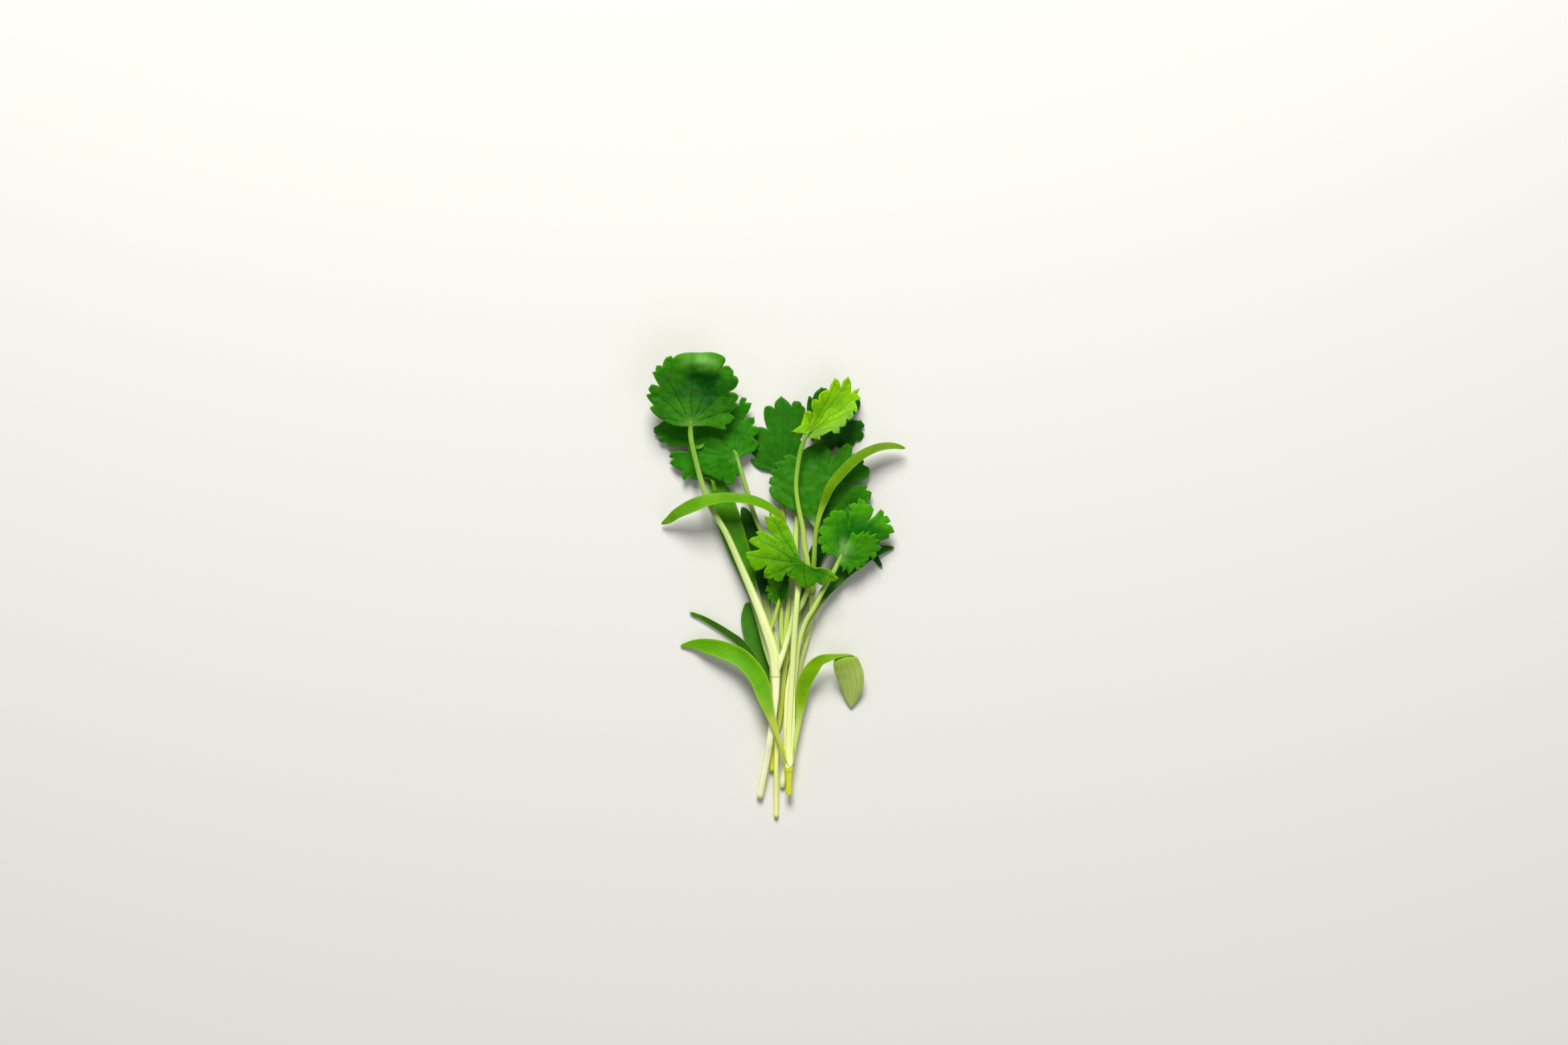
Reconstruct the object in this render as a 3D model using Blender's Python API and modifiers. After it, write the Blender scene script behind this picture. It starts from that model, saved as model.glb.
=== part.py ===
"""A loose bunch of five coriander seedlings, lying on a flat surface.

Every seedling is one fused solid: a cut stem, the node at its top, two strap seed leaves and one or two
true leaves on long petioles. X runs across the bunch, Y from the cut ends to the leaf tips, Z up.
All the lists below are in millimetres and were chosen by hand. A stem, petiole or seed leaf is
a route through a few points, and a true leaf is the outline of its blade as seen from above,
with a few posts that say how high the blade passes there.
"""

import math

import bmesh
import bpy
import numpy as np
from mathutils import Matrix, Vector
from mathutils.geometry import delaunay_2d_cdt

# The real length of the bunch, the length that the lists add up to, and the metres of one listed millimetre.
BUNCH_LENGTH = 90.7
LISTED_LENGTH = 90.7
MM = 0.001 * BUNCH_LENGTH / LISTED_LENGTH

# Thickness of every blade, narrowest blunt tip of a seed leaf and depth of its channel for its width.
BLADE_THICKNESS = 0.62
SMALLEST_WIDTH = 0.5
CHANNEL = 0.10

# Spacing of the points along tubes, straps and margins, and of the points inside a blade.
TUBE_STEP = 2.4
STRAP_STEP = 2.6
MARGIN_STEP = 1.15
MESH_STEP = 2.6
MESH_CLEARANCE = 0.9

# Points nearer than this are one point.
WELD = 0.01
TINY = 1e-9

# Stems and petioles: x, y, z and diameter.

LEFT_STEM = [
    (-3.4, -41.4, 0.75, 1.3), (-1.9, -33.4, 2.1, 1.3), (-1.5, -30.8, 2.8, 1.3),
    (-1.0, -27.4, 3.15, 1.3), (-0.3, -21.7, 3.2, 1.4), (-0.3, -17.2, 3.0, 1.9),
]
FAN_PETIOLE = [
    (-0.3, -17.6, 3.0, 1.9), (-0.7, -13.1, 3.4, 2.1), (-2.4, -7.7, 3.8, 1.9), (-3.6, -4.4, 3.8, 1.7),
    (-6.6, 2.7, 3.8, 1.4), (-9.9, 10.1, 3.8, 1.2), (-12.5, 14.5, 3.8, 1.1), (-13.6, 17.0, 3.9, 1.1),
    (-14.5, 19.4, 4.2, 1.1), (-15.6, 23.5, 5.0, 1.0), (-16.7, 28.4, 6.0, 1.0), (-16.8, 31.6, 6.3, 0.9),
]
MIDDLE_PETIOLE = [
    (-0.3, -17.6, 3.0, 1.5), (0.1, -16.2, 3.3, 1.2), (1.1, -13.4, 3.4, 1.05), (1.8, -11.1, 3.4, 1.05),
    (2.7, -7.9, 3.4, 1.05), (3.2, -6.0, 3.4, 1.05), (4.7, -3.8, 3.4, 1.05), (5.6, -1.7, 4.1, 1.0),
    (6.1, 0.7, 5.4, 1.0), (6.1, 3.0, 6.6, 0.9), (5.2, 4.9, 6.9, 0.8),
]

RIGHT_STEM = [
    (1.0, -39.5, 0.5, 1.0), (2.4, -30.0, 0.5, 1.0), (3.7, -20.9, 0.5, 1.0), (4.5, -15.5, 0.55, 1.0),
    (5.9, -10.0, 0.9, 1.0), (6.7, -5.3, 1.4, 1.0), (6.7, -1.8, 2.0, 1.1), (6.6, -0.6, 2.1, 1.6),
]
FOLDED_PETIOLE = [
    (6.6, -1.0, 2.1, 1.5), (6.2, 1.5, 3.0, 1.3), (5.8, 5.1, 3.6, 1.2), (5.3, 7.7, 4.0, 1.1),
    (5.0, 11.2, 4.3, 1.0), (4.2, 15.1, 4.5, 0.9), (3.7, 19.1, 4.6, 0.9), (4.0, 23.1, 4.9, 0.9),
    (4.7, 26.7, 5.4, 0.9), (5.9, 29.7, 6.0, 0.8),
]
LARGE_PETIOLE = [(6.6, -0.8, 2.1, 1.3), (7.1, 3.4, 2.7, 1.0), (7.4, 8.0, 2.9, 0.9), (7.6, 11.8, 2.9, 0.8)]

FRONT_STEM = [(2.3, -40.9, 2.0, 1.2), (2.3, -38.0, 2.0, 1.2), (2.3, -35.6, 2.1, 1.7)]
FRONT_PETIOLE = [
    (2.3, -36.0, 2.1, 1.6), (2.3, -31.3, 2.4, 1.3), (2.4, -26.1, 2.9, 1.15), (2.8, -19.6, 3.6, 1.1),
    (3.2, -12.2, 4.4, 1.1), (3.5, -7.4, 4.9, 1.1), (3.8, -3.6, 4.9, 1.1), (4.0, -0.5, 4.3, 1.1),
    (3.8, 3.8, 3.5, 1.1), (3.6, 7.8, 2.8, 1.1), (3.9, 13.1, 1.5, 1.0), (4.1, 18.1, 1.1, 1.0),
    (5.1, 23.2, 0.9, 0.9), (7.5, 28.2, 0.9, 0.8),
]
SIDE_PETIOLE = [
    (2.5, -35.0, 2.3, 1.2), (2.8, -28.7, 2.4, 0.95), (3.1, -22.2, 2.5, 0.9), (3.7, -15.7, 2.8, 0.9),
    (4.3, -11.1, 3.4, 0.9), (5.6, -7.0, 3.8, 0.9), (7.2, -4.3, 4.0, 0.9), (9.5, 0.1, 3.9, 0.9),
    (11.1, 2.9, 4.0, 0.9), (12.4, 5.6, 4.2, 0.8),
]

LOW_STEM = [
    (-1.0, -36.3, 0.55, 1.1), (-0.7, -31.3, 0.55, 1.1), (0.4, -26.8, 0.55, 1.1), (1.0, -21.7, 0.6, 1.1),
    (1.5, -16.3, 0.8, 1.2), (1.9, -14.2, 0.9, 1.5),
]
FLAT_PETIOLE = [
    (1.9, -14.6, 0.9, 1.3), (1.7, -9.2, 0.7, 1.05), (2.2, -2.7, 0.6, 1.05), (1.9, 5.1, 0.55, 1.0),
    (1.2, 12.6, 0.55, 1.0), (1.1, 16.4, 0.55, 0.95), (1.2, 22.2, 0.6, 0.8),
]
UNDER_PETIOLE = [
    (1.8, -14.4, 0.9, 1.2), (0.9, -9.9, 1.0, 0.9), (0.6, -2.7, 1.2, 0.9), (-0.7, 3.8, 1.5, 0.9),
    (-3.2, 10.6, 1.9, 0.9), (-4.7, 14.4, 2.3, 0.9), (-5.8, 18.2, 2.7, 0.9), (-6.9, 21.8, 3.0, 0.9),
    (-8.1, 25.8, 3.2, 0.8),
]

SMALL_STEM = [
    (-0.2, -45.3, 0.5, 0.9), (-0.2, -41.0, 1.0, 0.9), (-0.2, -36.5, 1.7, 0.9), (-0.1, -32.0, 1.9, 0.9),
    (-0.1, -30.4, 1.9, 1.2),
]
SMALL_PETIOLE = [
    (-0.1, -30.8, 1.9, 1.0), (-0.7, -23.5, 1.5, 0.8), (-1.2, -15.7, 1.5, 0.8), (-1.3, -9.2, 2.0, 0.8),
    (-0.5, -6.5, 2.3, 0.8), (0.3, -3.4, 2.6, 0.7),
]

# Seed leaves: x, y, z, width and roll in degrees, where a roll turns the right edge up.

BROAD_SEED_LEAF = [
    (-0.4, -17.2, 3.0, 1.3, 0), (-2.0, -12.5, 2.9, 1.3, 0), (-3.4, -7.0, 2.5, 1.4, 0),
    (-4.9, -1.4, 2.4, 2.0, 0), (-6.2, 3.5, 2.2, 3.6, 0), (-7.9, 8.1, 2.1, 4.4, 0),
    (-9.4, 12.6, 1.9, 4.8, -8), (-10.4, 16.0, 1.6, 4.4, -10), (-11.5, 18.8, 1.3, 3.6, 0),
    (-13.0, 20.6, 1.0, 2.4, 20), (-14.6, 20.9, 0.6, 0.6, 30),
]
DARK_SEED_LEAF = [
    (-0.2, -16.8, 2.8, 1.0, 0), (0.2, -14.4, 2.2, 0.8, 0), (-0.3, -10.0, 1.0, 0.8, 0),
    (-1.3, -7.7, 0.85, 1.1, 0), (-2.0, -4.0, 0.8, 1.5, 0), (-2.5, -0.9, 0.8, 2.0, 0),
    (-2.9, 2.1, 0.8, 2.8, 0), (-3.5, 5.1, 0.75, 3.4, 0), (-4.3, 8.3, 0.7, 3.6, 0),
    (-5.1, 10.9, 0.7, 3.4, 0), (-6.0, 13.5, 0.6, 2.4, 0), (-6.9, 15.5, 0.4, 0.6, 0),
]
RIGHT_SEED_LEAF = [
    (6.8, -0.6, 2.2, 1.2, 0), (7.1, 4.1, 3.7, 0.8, 0), (7.3, 7.7, 4.2, 0.8, 0), (7.6, 10.6, 4.3, 0.9, 10),
    (8.3, 13.9, 4.5, 1.2, 30), (9.2, 16.5, 4.7, 2.0, 45), (10.3, 19.2, 4.8, 2.8, 50),
    (12.1, 21.5, 4.8, 3.2, 52), (14.2, 23.7, 4.6, 3.2, 52), (16.8, 25.7, 4.3, 2.8, 50),
    (19.8, 27.0, 3.8, 2.2, 45), (22.7, 27.3, 3.2, 1.5, 35), (25.1, 26.8, 2.6, 0.5, 30),
]
ARCHED_SEED_LEAF = [
    (6.5, -0.6, 2.2, 1.1, 0), (5.8, 3.0, 3.4, 0.9, 0), (4.5, 6.4, 4.3, 0.9, 0), (2.7, 10.5, 4.35, 1.0, 0),
    (1.4, 12.7, 4.3, 1.4, -20), (-0.1, 14.4, 4.4, 2.0, -35), (-2.3, 15.8, 5.0, 2.6, -40),
    (-5.3, 16.8, 5.9, 2.8, -48), (-9.4, 17.2, 6.4, 2.8, -48), (-13.0, 16.8, 6.3, 3.0, -42),
    (-16.3, 15.7, 5.4, 3.0, -30), (-19.4, 14.2, 3.6, 2.2, -20), (-21.1, 12.9, 2.2, 1.5, -10),
    (-22.7, 12.0, 1.0, 0.5, 0),
]
LEFT_SEED_LEAF = [
    (2.2, -35.8, 2.1, 1.2, 0), (1.2, -32.8, 2.9, 1.0, 0), (0.4, -30.2, 3.8, 1.0, 0),
    (-1.1, -25.9, 4.9, 1.6, 0), (-2.4, -21.7, 4.8, 3.0, 0), (-3.4, -18.6, 4.6, 3.4, 0),
    (-5.0, -16.1, 4.3, 3.6, 0), (-7.2, -14.0, 3.8, 3.6, 0), (-10.5, -12.6, 3.1, 3.5, 0),
    (-13.7, -11.8, 2.2, 2.9, 0), (-16.3, -11.5, 1.2, 1.8, 0), (-19.0, -11.9, 0.36, 0.5, 0),
]
TURNED_SEED_LEAF = [
    (2.5, -35.8, 2.1, 1.2, 0), (3.5, -30.8, 2.2, 0.9, 0), (4.3, -25.9, 2.3, 1.3, 0),
    (4.9, -20.9, 2.8, 2.4, 0), (5.7, -18.1, 3.3, 2.8, 0), (6.9, -16.1, 3.8, 2.8, 10),
    (8.6, -14.6, 4.2, 2.6, 30), (10.6, -13.9, 4.2, 2.4, 55), (12.4, -14.3, 3.9, 2.6, 90),
    (13.6, -15.9, 3.3, 3.6, 130), (14.2, -18.1, 2.5, 4.8, 165), (14.5, -20.9, 1.3, 4.0, 180),
    (14.4, -23.9, 0.36, 0.5, 180),
]
SIDE_SEED_LEAF = [
    (1.9, -14.4, 0.9, 1.2, 0), (2.9, -12.8, 1.2, 0.8, 0), (4.0, -11.2, 1.8, 0.8, 0),
    (5.4, -9.2, 2.4, 0.9, 0), (6.6, -6.5, 2.75, 1.0, 0), (7.9, -4.0, 2.8, 1.3, 0), (9.4, -1.2, 2.4, 2.2, 0),
    (11.2, 0.8, 2.1, 2.6, 0), (13.3, 2.9, 1.9, 2.8, 0), (16.2, 5.1, 1.7, 2.8, 0), (19.4, 6.7, 1.2, 2.0, 0),
    (23.0, 7.5, 0.4, 0.5, 0),
]
HIDDEN_SEED_LEAF = [
    (1.9, -14.2, 0.9, 1.2, 0), (3.2, -9.0, 0.6, 0.9, 0), (4.8, -4.5, 0.5, 1.4, 0), (6.4, 1.5, 0.6, 2.4, 0),
    (7.9, 6.4, 0.65, 3.2, 0), (10.3, 9.2, 0.65, 3.4, 0), (14.2, 9.9, 0.65, 3.2, 0), (17.5, 7.7, 0.55, 2.2, 0),
    (20.6, 3.4, 0.36, 0.5, 0),
]
CREASED_SEED_LEAF = [
    (-0.1, -30.6, 1.9, 1.1, 0), (-0.9, -26.1, 1.6, 0.8, 20), (-2.0, -20.9, 1.7, 1.8, 45),
    (-4.1, -15.7, 1.7, 2.6, 50), (-6.6, -11.8, 1.6, 2.6, 50), (-9.6, -9.4, 1.4, 2.2, 50),
    (-14.0, -6.7, 1.0, 1.4, 40), (-17.2, -5.3, 0.5, 0.5, 20),
]
ROUND_SEED_LEAF = [
    (-0.1, -30.4, 1.9, 1.0, 0), (-0.7, -27.5, 1.8, 0.8, 0), (-1.2, -22.9, 1.4, 1.2, 0),
    (-1.7, -18.3, 1.0, 2.2, 0), (-3.2, -13.8, 0.8, 3.4, 0), (-4.6, -9.9, 0.75, 3.8, 0),
    (-5.4, -6.2, 0.7, 3.4, 0), (-5.8, -3.2, 0.5, 1.0, 0),
]

# True leaves: each row is one scallop of the margin, from its notch to the next one.

FAN_MARGIN = [
    [(-16.8, 30.9), (-18.9, 31.0), (-20.6, 31.4), (-23.3, 32.9), (-24.7, 34.5)],
    [(-24.0, 35.1), (-25.1, 36.4), (-25.3, 37.0)],
    [(-24.5, 37.4), (-25.0, 38.2), (-24.4, 39.0)],
    [(-22.9, 38.8), (-23.7, 40.3), (-24.1, 41.3)],
    [(-23.6, 41.7), (-23.3, 42.7)],
    [(-22.3, 42.7), (-21.5, 44.2), (-20.6, 44.7)],
    [(-20.2, 44.2), (-19.3, 44.9), (-17.6, 45.3), (-15.0, 45.3), (-12.3, 45.3), (-10.1, 44.3)],
    [(-10.5, 42.6), (-9.4, 42.6), (-8.5, 41.8)],
    [(-8.5, 41.0), (-7.7, 40.5), (-7.6, 39.7), (-8.0, 38.6)],
    [(-9.2, 37.7), (-8.1, 37.5), (-7.6, 36.9)],
    [(-8.1, 35.8), (-7.9, 35.1), (-8.4, 34.2)],
    [(-9.3, 33.5), (-8.4, 32.6), (-9.2, 31.6)],
    [(-10.2, 31.3), (-9.9, 30.4), (-11.4, 30.5), (-13.4, 31.0), (-15.4, 31.0)],
]
FAN_POSTS = [
    (-16.8, 31.2, 6.4), (-21.5, 32.5, 6.0), (-11.0, 31.0, 5.8), (-24.6, 38.0, 6.2), (-16.5, 37.0, 5.6),
    (-8.2, 38.0, 6.2), (-23.0, 42.5, 6.6), (-15.0, 43.0, 7.4), (-15.0, 45.3, 7.0), (-10.0, 44.0, 6.8),
]

MIDDLE_MARGIN = [
    [(5.4, 4.4), (4.4, 5.6), (3.6, 7.7), (2.8, 10.0), (1.8, 12.1), (0.3, 13.1)],
    [(-0.1, 13.6), (-1.0, 14.3), (-2.0, 14.0)],
    [(-1.9, 13.1), (-2.3, 12.3), (-1.9, 11.2), (-0.8, 9.9)],
    [(0.3, 8.8), (-1.2, 9.9), (-2.8, 10.5), (-4.1, 10.5)],
    [(-3.7, 9.7), (-4.9, 9.4), (-5.4, 8.7)],
    [(-3.3, 7.1), (-4.6, 6.8), (-5.9, 6.5), (-5.9, 5.3)],
    [(-5.4, 4.8), (-5.1, 3.8), (-4.2, 3.1), (-3.1, 3.2)],
    [(-1.8, 4.0), (-2.5, 3.0), (-2.4, 1.7), (-1.4, 1.3)],
    [(-0.7, 1.6), (-0.1, 0.8), (1.0, 1.2), (1.6, 2.3)],
    [(2.0, 3.4), (2.1, 2.1), (3.2, 1.2)],
    [(3.7, 1.3), (4.1, 0.3), (5.4, -0.3), (6.8, -0.1)],
    [(7.7, 0.8), (8.9, 0.3), (9.8, 0.8)],
    [(10.1, 1.0), (11.0, 0.8), (11.8, 1.4)],
    [(11.1, 2.3), (10.1, 3.2), (8.6, 3.6), (7.1, 3.6)],
]
MIDDLE_POSTS = [
    (5.4, 4.6, 7.0), (2.0, 11.0, 6.4), (-1.4, 14.0, 6.7), (0.8, 8.6, 6.3), (-4.0, 10.2, 5.7),
    (-2.5, 6.8, 6.0), (-5.7, 6.0, 5.5), (-2.0, 1.8, 5.6), (2.5, 4.0, 6.6), (5.5, 0.2, 6.2),
    (8.5, 1.0, 6.0), (11.6, 1.5, 5.4), (8.6, 3.4, 6.5),
]

FOLDED_MARGIN = [
    [(5.6, 29.1), (4.9, 29.6), (4.0, 29.7), (3.1, 30.0), (3.7, 30.6)],
    [(4.6, 31.2), (4.9, 32.2), (5.5, 33.8), (6.4, 34.0)],
    [(7.1, 33.5), (6.7, 34.9), (6.9, 36.0), (7.7, 36.3)],
    [(8.0, 35.9), (8.6, 37.4), (9.7, 38.2)],
    [(10.1, 37.9), (10.5, 39.2), (11.2, 40.1), (11.9, 40.1)],
    [(12.5, 38.6), (12.9, 39.9), (13.8, 40.5), (14.4, 39.6)],
    [(14.4, 37.5), (15.0, 38.1), (15.9, 38.3)],
    [(15.6, 37.4), (16.0, 36.5)],
    [(15.2, 36.0), (15.6, 34.7), (15.4, 33.9)],
    [(14.7, 34.2), (14.6, 32.9), (13.9, 32.2)],
    [(13.5, 32.6), (13.1, 31.3), (12.3, 30.8)],
    [(12.1, 31.3), (11.9, 29.9), (11.0, 29.6)],
    [(10.6, 30.2), (9.7, 29.7), (8.8, 29.3)],
    [(8.3, 29.6), (8.1, 28.5), (6.8, 28.7)],
]
FOLDED_POSTS = [
    (5.7, 29.2, 6.0), (3.6, 30.1, 6.2), (8.5, 31.4, 5.0), (12.0, 33.8, 4.2), (15.3, 36.6, 3.6),
    (6.2, 34.0, 5.6), (9.5, 37.8, 4.6), (11.6, 40.0, 4.3), (13.8, 40.2, 3.9), (15.2, 33.9, 5.4),
    (13.0, 31.4, 6.2), (10.6, 29.8, 6.8), (8.0, 28.8, 6.8),
]

LARGE_MARGIN = [
    [(7.5, 10.8), (6.3, 12.6), (5.4, 13.4), (3.4, 14.5), (1.1, 15.8), (-0.8, 17.1), (-1.5, 18.3),
     (-1.4, 19.2)],
    [(-0.7, 19.5), (-1.5, 20.1), (-1.4, 21.0)],
    [(-0.6, 21.4), (-1.2, 22.2), (-0.3, 22.7)],
    [(0.2, 22.9), (-0.3, 23.8), (0.8, 24.4)],
    [(1.5, 24.3), (1.4, 25.3), (2.7, 25.6)],
    [(3.7, 25.1), (4.5, 26.1), (6.6, 27.3), (8.4, 27.7), (9.7, 27.3), (10.6, 25.8)],
    [(9.9, 23.4), (11.0, 25.3), (12.5, 27.0), (13.7, 27.8), (14.7, 27.0)],
    [(14.5, 25.6), (15.9, 25.5), (16.9, 24.5)],
    [(16.8, 23.6), (18.0, 22.9), (17.9, 21.4), (16.4, 20.4)],
    [(14.2, 19.6), (15.9, 19.7), (17.5, 19.6)],
    [(17.3, 18.7), (18.4, 18.1), (18.2, 17.0)],
    [(17.5, 16.4), (17.9, 15.2), (16.9, 13.9), (15.4, 13.1)],
    [(13.3, 13.1), (12.0, 12.1), (10.5, 11.3), (8.9, 10.6)],
]
LARGE_POSTS = [
    (7.5, 10.9, 2.9), (5.2, 13.6, 3.0), (-1.2, 19.0, 1.8), (0.2, 24.0, 1.6), (4.2, 19.0, 2.7),
    (6.6, 27.0, 2.1), (10.0, 23.0, 2.5), (10.0, 17.0, 2.8), (13.7, 27.4, 1.9), (17.8, 22.0, 1.6),
    (14.2, 19.6, 2.2), (18.0, 17.4, 1.6), (16.0, 13.6, 1.8), (11.0, 11.8, 2.5),
]

BACK_MARGIN = [
    [(7.3, 27.4), (6.3, 29.7), (5.9, 32.3), (5.8, 34.9), (6.2, 37.0)],
    [(6.9, 36.6), (7.5, 37.8), (8.6, 38.6), (9.8, 38.4)],
    [(10.1, 37.5), (11.5, 38.4), (13.1, 38.2)],
    [(13.2, 37.3), (14.9, 37.5), (16.2, 36.2), (15.9, 34.5)],
    [(13.4, 31.7), (14.9, 32.3), (16.3, 32.2), (17.1, 31.3)],
    [(16.3, 30.4), (16.9, 29.5), (16.4, 28.4)],
    [(15.4, 28.3), (14.4, 27.3), (12.5, 26.9)],
    [(11.5, 27.4), (10.5, 26.6), (8.9, 26.8)],
]
BACK_POSTS = [
    (7.3, 27.4, 0.9), (6.0, 34.0, 1.7), (8.8, 38.2, 1.8), (13.0, 37.8, 1.5), (16.0, 35.8, 0.9),
    (12.0, 32.0, 1.4), (17.0, 31.2, 0.7), (16.4, 28.6, 0.4), (12.0, 27.0, 0.5),
]

TRIPLE_MARGIN = [
    [(12.1, 4.9), (11.0, 5.8), (9.8, 6.1)],
    [(9.9, 6.5), (8.9, 6.6), (8.5, 7.5)],
    [(8.9, 7.9), (8.0, 8.4), (8.1, 9.5)],
    [(8.8, 9.7), (8.2, 10.6), (8.6, 11.6)],
    [(9.3, 11.6), (9.2, 12.7), (9.9, 13.4)],
    [(10.3, 13.2), (10.6, 14.3), (11.4, 14.8)],
    [(11.9, 14.5), (12.5, 14.8), (13.3, 14.2), (13.9, 12.5)],
    [(14.0, 10.4), (13.9, 12.3), (14.0, 14.3)],
    [(14.5, 14.4), (14.2, 15.6), (15.1, 16.2)],
    [(15.6, 15.8), (16.0, 16.8), (17.1, 16.6)],
    [(17.3, 16.0), (18.2, 15.8), (18.6, 14.8), (18.4, 13.6)],
    [(17.7, 12.6), (18.9, 13.5), (20.1, 14.7), (20.8, 14.4)],
    [(20.7, 13.6), (21.5, 13.6), (21.9, 12.6)],
    [(21.2, 12.1), (22.3, 11.7), (22.7, 10.6)],
    [(21.9, 10.1), (21.5, 9.2), (20.3, 8.8)],
    [(19.5, 7.9), (20.1, 7.4), (19.8, 6.1), (18.9, 5.7)],
    [(18.5, 6.1), (18.1, 5.2), (17.3, 4.9)],
    [(17.1, 5.5), (17.5, 4.3), (16.8, 3.6)],
    [(16.3, 4.2), (15.9, 3.0), (15.0, 3.1)],
    [(14.9, 3.8), (14.2, 2.6), (13.3, 2.7)],
    [(13.3, 3.5), (12.5, 3.4)],
]
TRIPLE_POSTS = [
    (12.1, 5.0, 4.2), (9.6, 6.6, 5.2), (8.3, 9.5, 5.6), (9.2, 12.4, 5.4), (12.0, 14.6, 5.0),
    (14.0, 10.2, 4.0), (15.0, 15.9, 4.5), (18.4, 14.0, 3.9), (20.6, 14.2, 3.5), (22.4, 10.8, 3.1),
    (17.0, 8.0, 3.7), (19.6, 6.2, 3.2), (16.6, 3.8, 3.5), (13.4, 3.0, 4.0),
]

FLAT_MARGIN = [
    [(1.2, 21.2), (-0.3, 21.7), (-1.5, 22.3), (-2.5, 22.5), (-3.3, 22.7), (-4.5, 23.5), (-5.1, 24.5)],
    [(-3.8, 24.8), (-4.9, 25.7), (-5.1, 26.6)],
    [(-3.4, 27.0), (-4.5, 28.2), (-4.4, 29.4), (-3.6, 31.0)],
    [(-1.8, 30.6), (-2.5, 32.7), (-2.5, 34.7), (-1.5, 35.2)],
    [(-0.6, 34.7), (-0.3, 36.0), (0.8, 36.9), (1.9, 36.2)],
    [(2.8, 35.2), (3.4, 36.0), (4.4, 36.0)],
    [(4.9, 35.2), (5.4, 34.5), (5.4, 33.4)],
    [(4.9, 32.6), (5.3, 31.0), (4.9, 29.5)],
    [(4.4, 29.0), (4.9, 27.4), (4.4, 25.6), (3.2, 23.5)],
]
FLAT_POSTS = [
    (1.2, 21.4, 0.55), (-4.8, 25.0, 0.35), (-4.0, 29.6, 0.4), (0.5, 28.5, 0.6), (-2.0, 34.8, 0.4),
    (1.0, 36.4, 0.4), (5.2, 34.0, 0.45), (4.8, 27.5, 0.4),
]

UNDER_MARGIN = [
    [(-7.7, 24.9), (-7.1, 24.0), (-6.9, 22.7), (-7.5, 21.4)],
    [(-8.2, 21.9), (-8.4, 20.1), (-9.4, 19.7), (-10.1, 20.1)],
    [(-10.3, 20.9), (-11.0, 20.4), (-12.7, 21.2), (-14.2, 21.8)],
    [(-15.1, 21.9), (-15.6, 20.8), (-16.8, 20.8)],
    [(-17.1, 21.7), (-18.1, 20.6), (-18.6, 21.4)],
    [(-18.1, 22.6), (-19.7, 22.9), (-20.8, 23.9)],
    [(-20.2, 24.8), (-21.1, 25.2), (-20.5, 26.1), (-19.2, 26.3)],
    [(-17.4, 26.2), (-17.9, 27.2), (-19.6, 27.3), (-21.0, 27.2)],
    [(-21.8, 28.0), (-22.8, 28.0), (-23.2, 28.7)],
    [(-22.0, 29.2), (-23.4, 29.3), (-24.0, 30.0), (-24.1, 30.9)],
    [(-23.2, 31.4), (-21.5, 32.6), (-19.0, 33.6), (-15.0, 33.8), (-12.4, 32.6)],
    [(-11.6, 31.4), (-10.6, 33.0), (-9.4, 34.4), (-8.3, 35.6)],
    [(-7.5, 35.4), (-6.9, 36.6), (-6.0, 36.6)],
    [(-6.2, 35.7), (-5.1, 35.5), (-5.4, 34.4)],
    [(-6.8, 32.2), (-6.0, 32.8), (-4.6, 32.8), (-4.4, 31.9)],
    [(-5.0, 31.2), (-3.7, 30.8), (-3.8, 29.7)],
    [(-5.0, 29.0), (-4.1, 28.4), (-3.7, 27.4), (-4.6, 26.2), (-6.2, 25.5)],
]
UNDER_POSTS = [
    (-7.7, 24.9, 3.2), (-9.4, 20.3, 3.0), (-14.2, 22.0, 2.7), (-18.2, 21.2, 1.9), (-20.8, 24.6, 1.6),
    (-12.5, 26.0, 3.0), (-16.5, 28.0, 2.4), (-23.8, 30.2, 1.3), (-15.0, 33.4, 2.4), (-10.0, 30.0, 2.9),
    (-7.0, 36.2, 2.6), (-5.4, 32.4, 2.0), (-4.0, 28.0, 1.9),
]

SMALL_MARGIN = [
    [(0.2, -4.0), (-0.7, -3.6), (-1.1, -3.0)],
    [(-0.8, -2.6), (-1.6, -2.5), (-1.9, -1.7)],
    [(-1.4, -1.4), (-2.0, -0.9), (-2.0, 0.0)],
    [(-1.4, 0.1), (-1.9, 0.9), (-1.5, 1.7), (-0.3, 2.2), (1.2, 2.3), (2.4, 2.2)],
    [(2.2, 1.2), (2.3, 0.1), (2.0, -1.2), (1.5, -2.5)],
]
SMALL_POSTS = [
    (0.2, -3.8, 2.6), (-1.6, -1.6, 3.0), (-1.6, 1.4, 3.8), (0.4, -0.6, 3.0), (2.2, 1.8, 3.9),
    (1.9, -1.4, 3.4),
]

GREEN = (0.10, 0.30, 0.01)
GREEN_ROUGHNESS = 0.5


def clear_scene():
    """Remove every object that the file starts with."""
    for item in list(bpy.data.objects):
        bpy.data.objects.remove(item, do_unlink=True)


def make_collection(name):
    """Add a collection to the scene."""
    collection = bpy.data.collections.new(name)
    bpy.context.scene.collection.children.link(collection)
    return collection


def leaf_material(name):
    """Return the plain green of a seedling."""
    material = bpy.data.materials.new(name)
    material.use_nodes = True
    shader = material.node_tree.nodes["Principled BSDF"]
    shader.inputs["Base Color"].default_value = (*GREEN, 1.0)
    shader.inputs["Roughness"].default_value = GREEN_ROUGHNESS
    shader.inputs["Metallic"].default_value = 0.0
    return material


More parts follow.
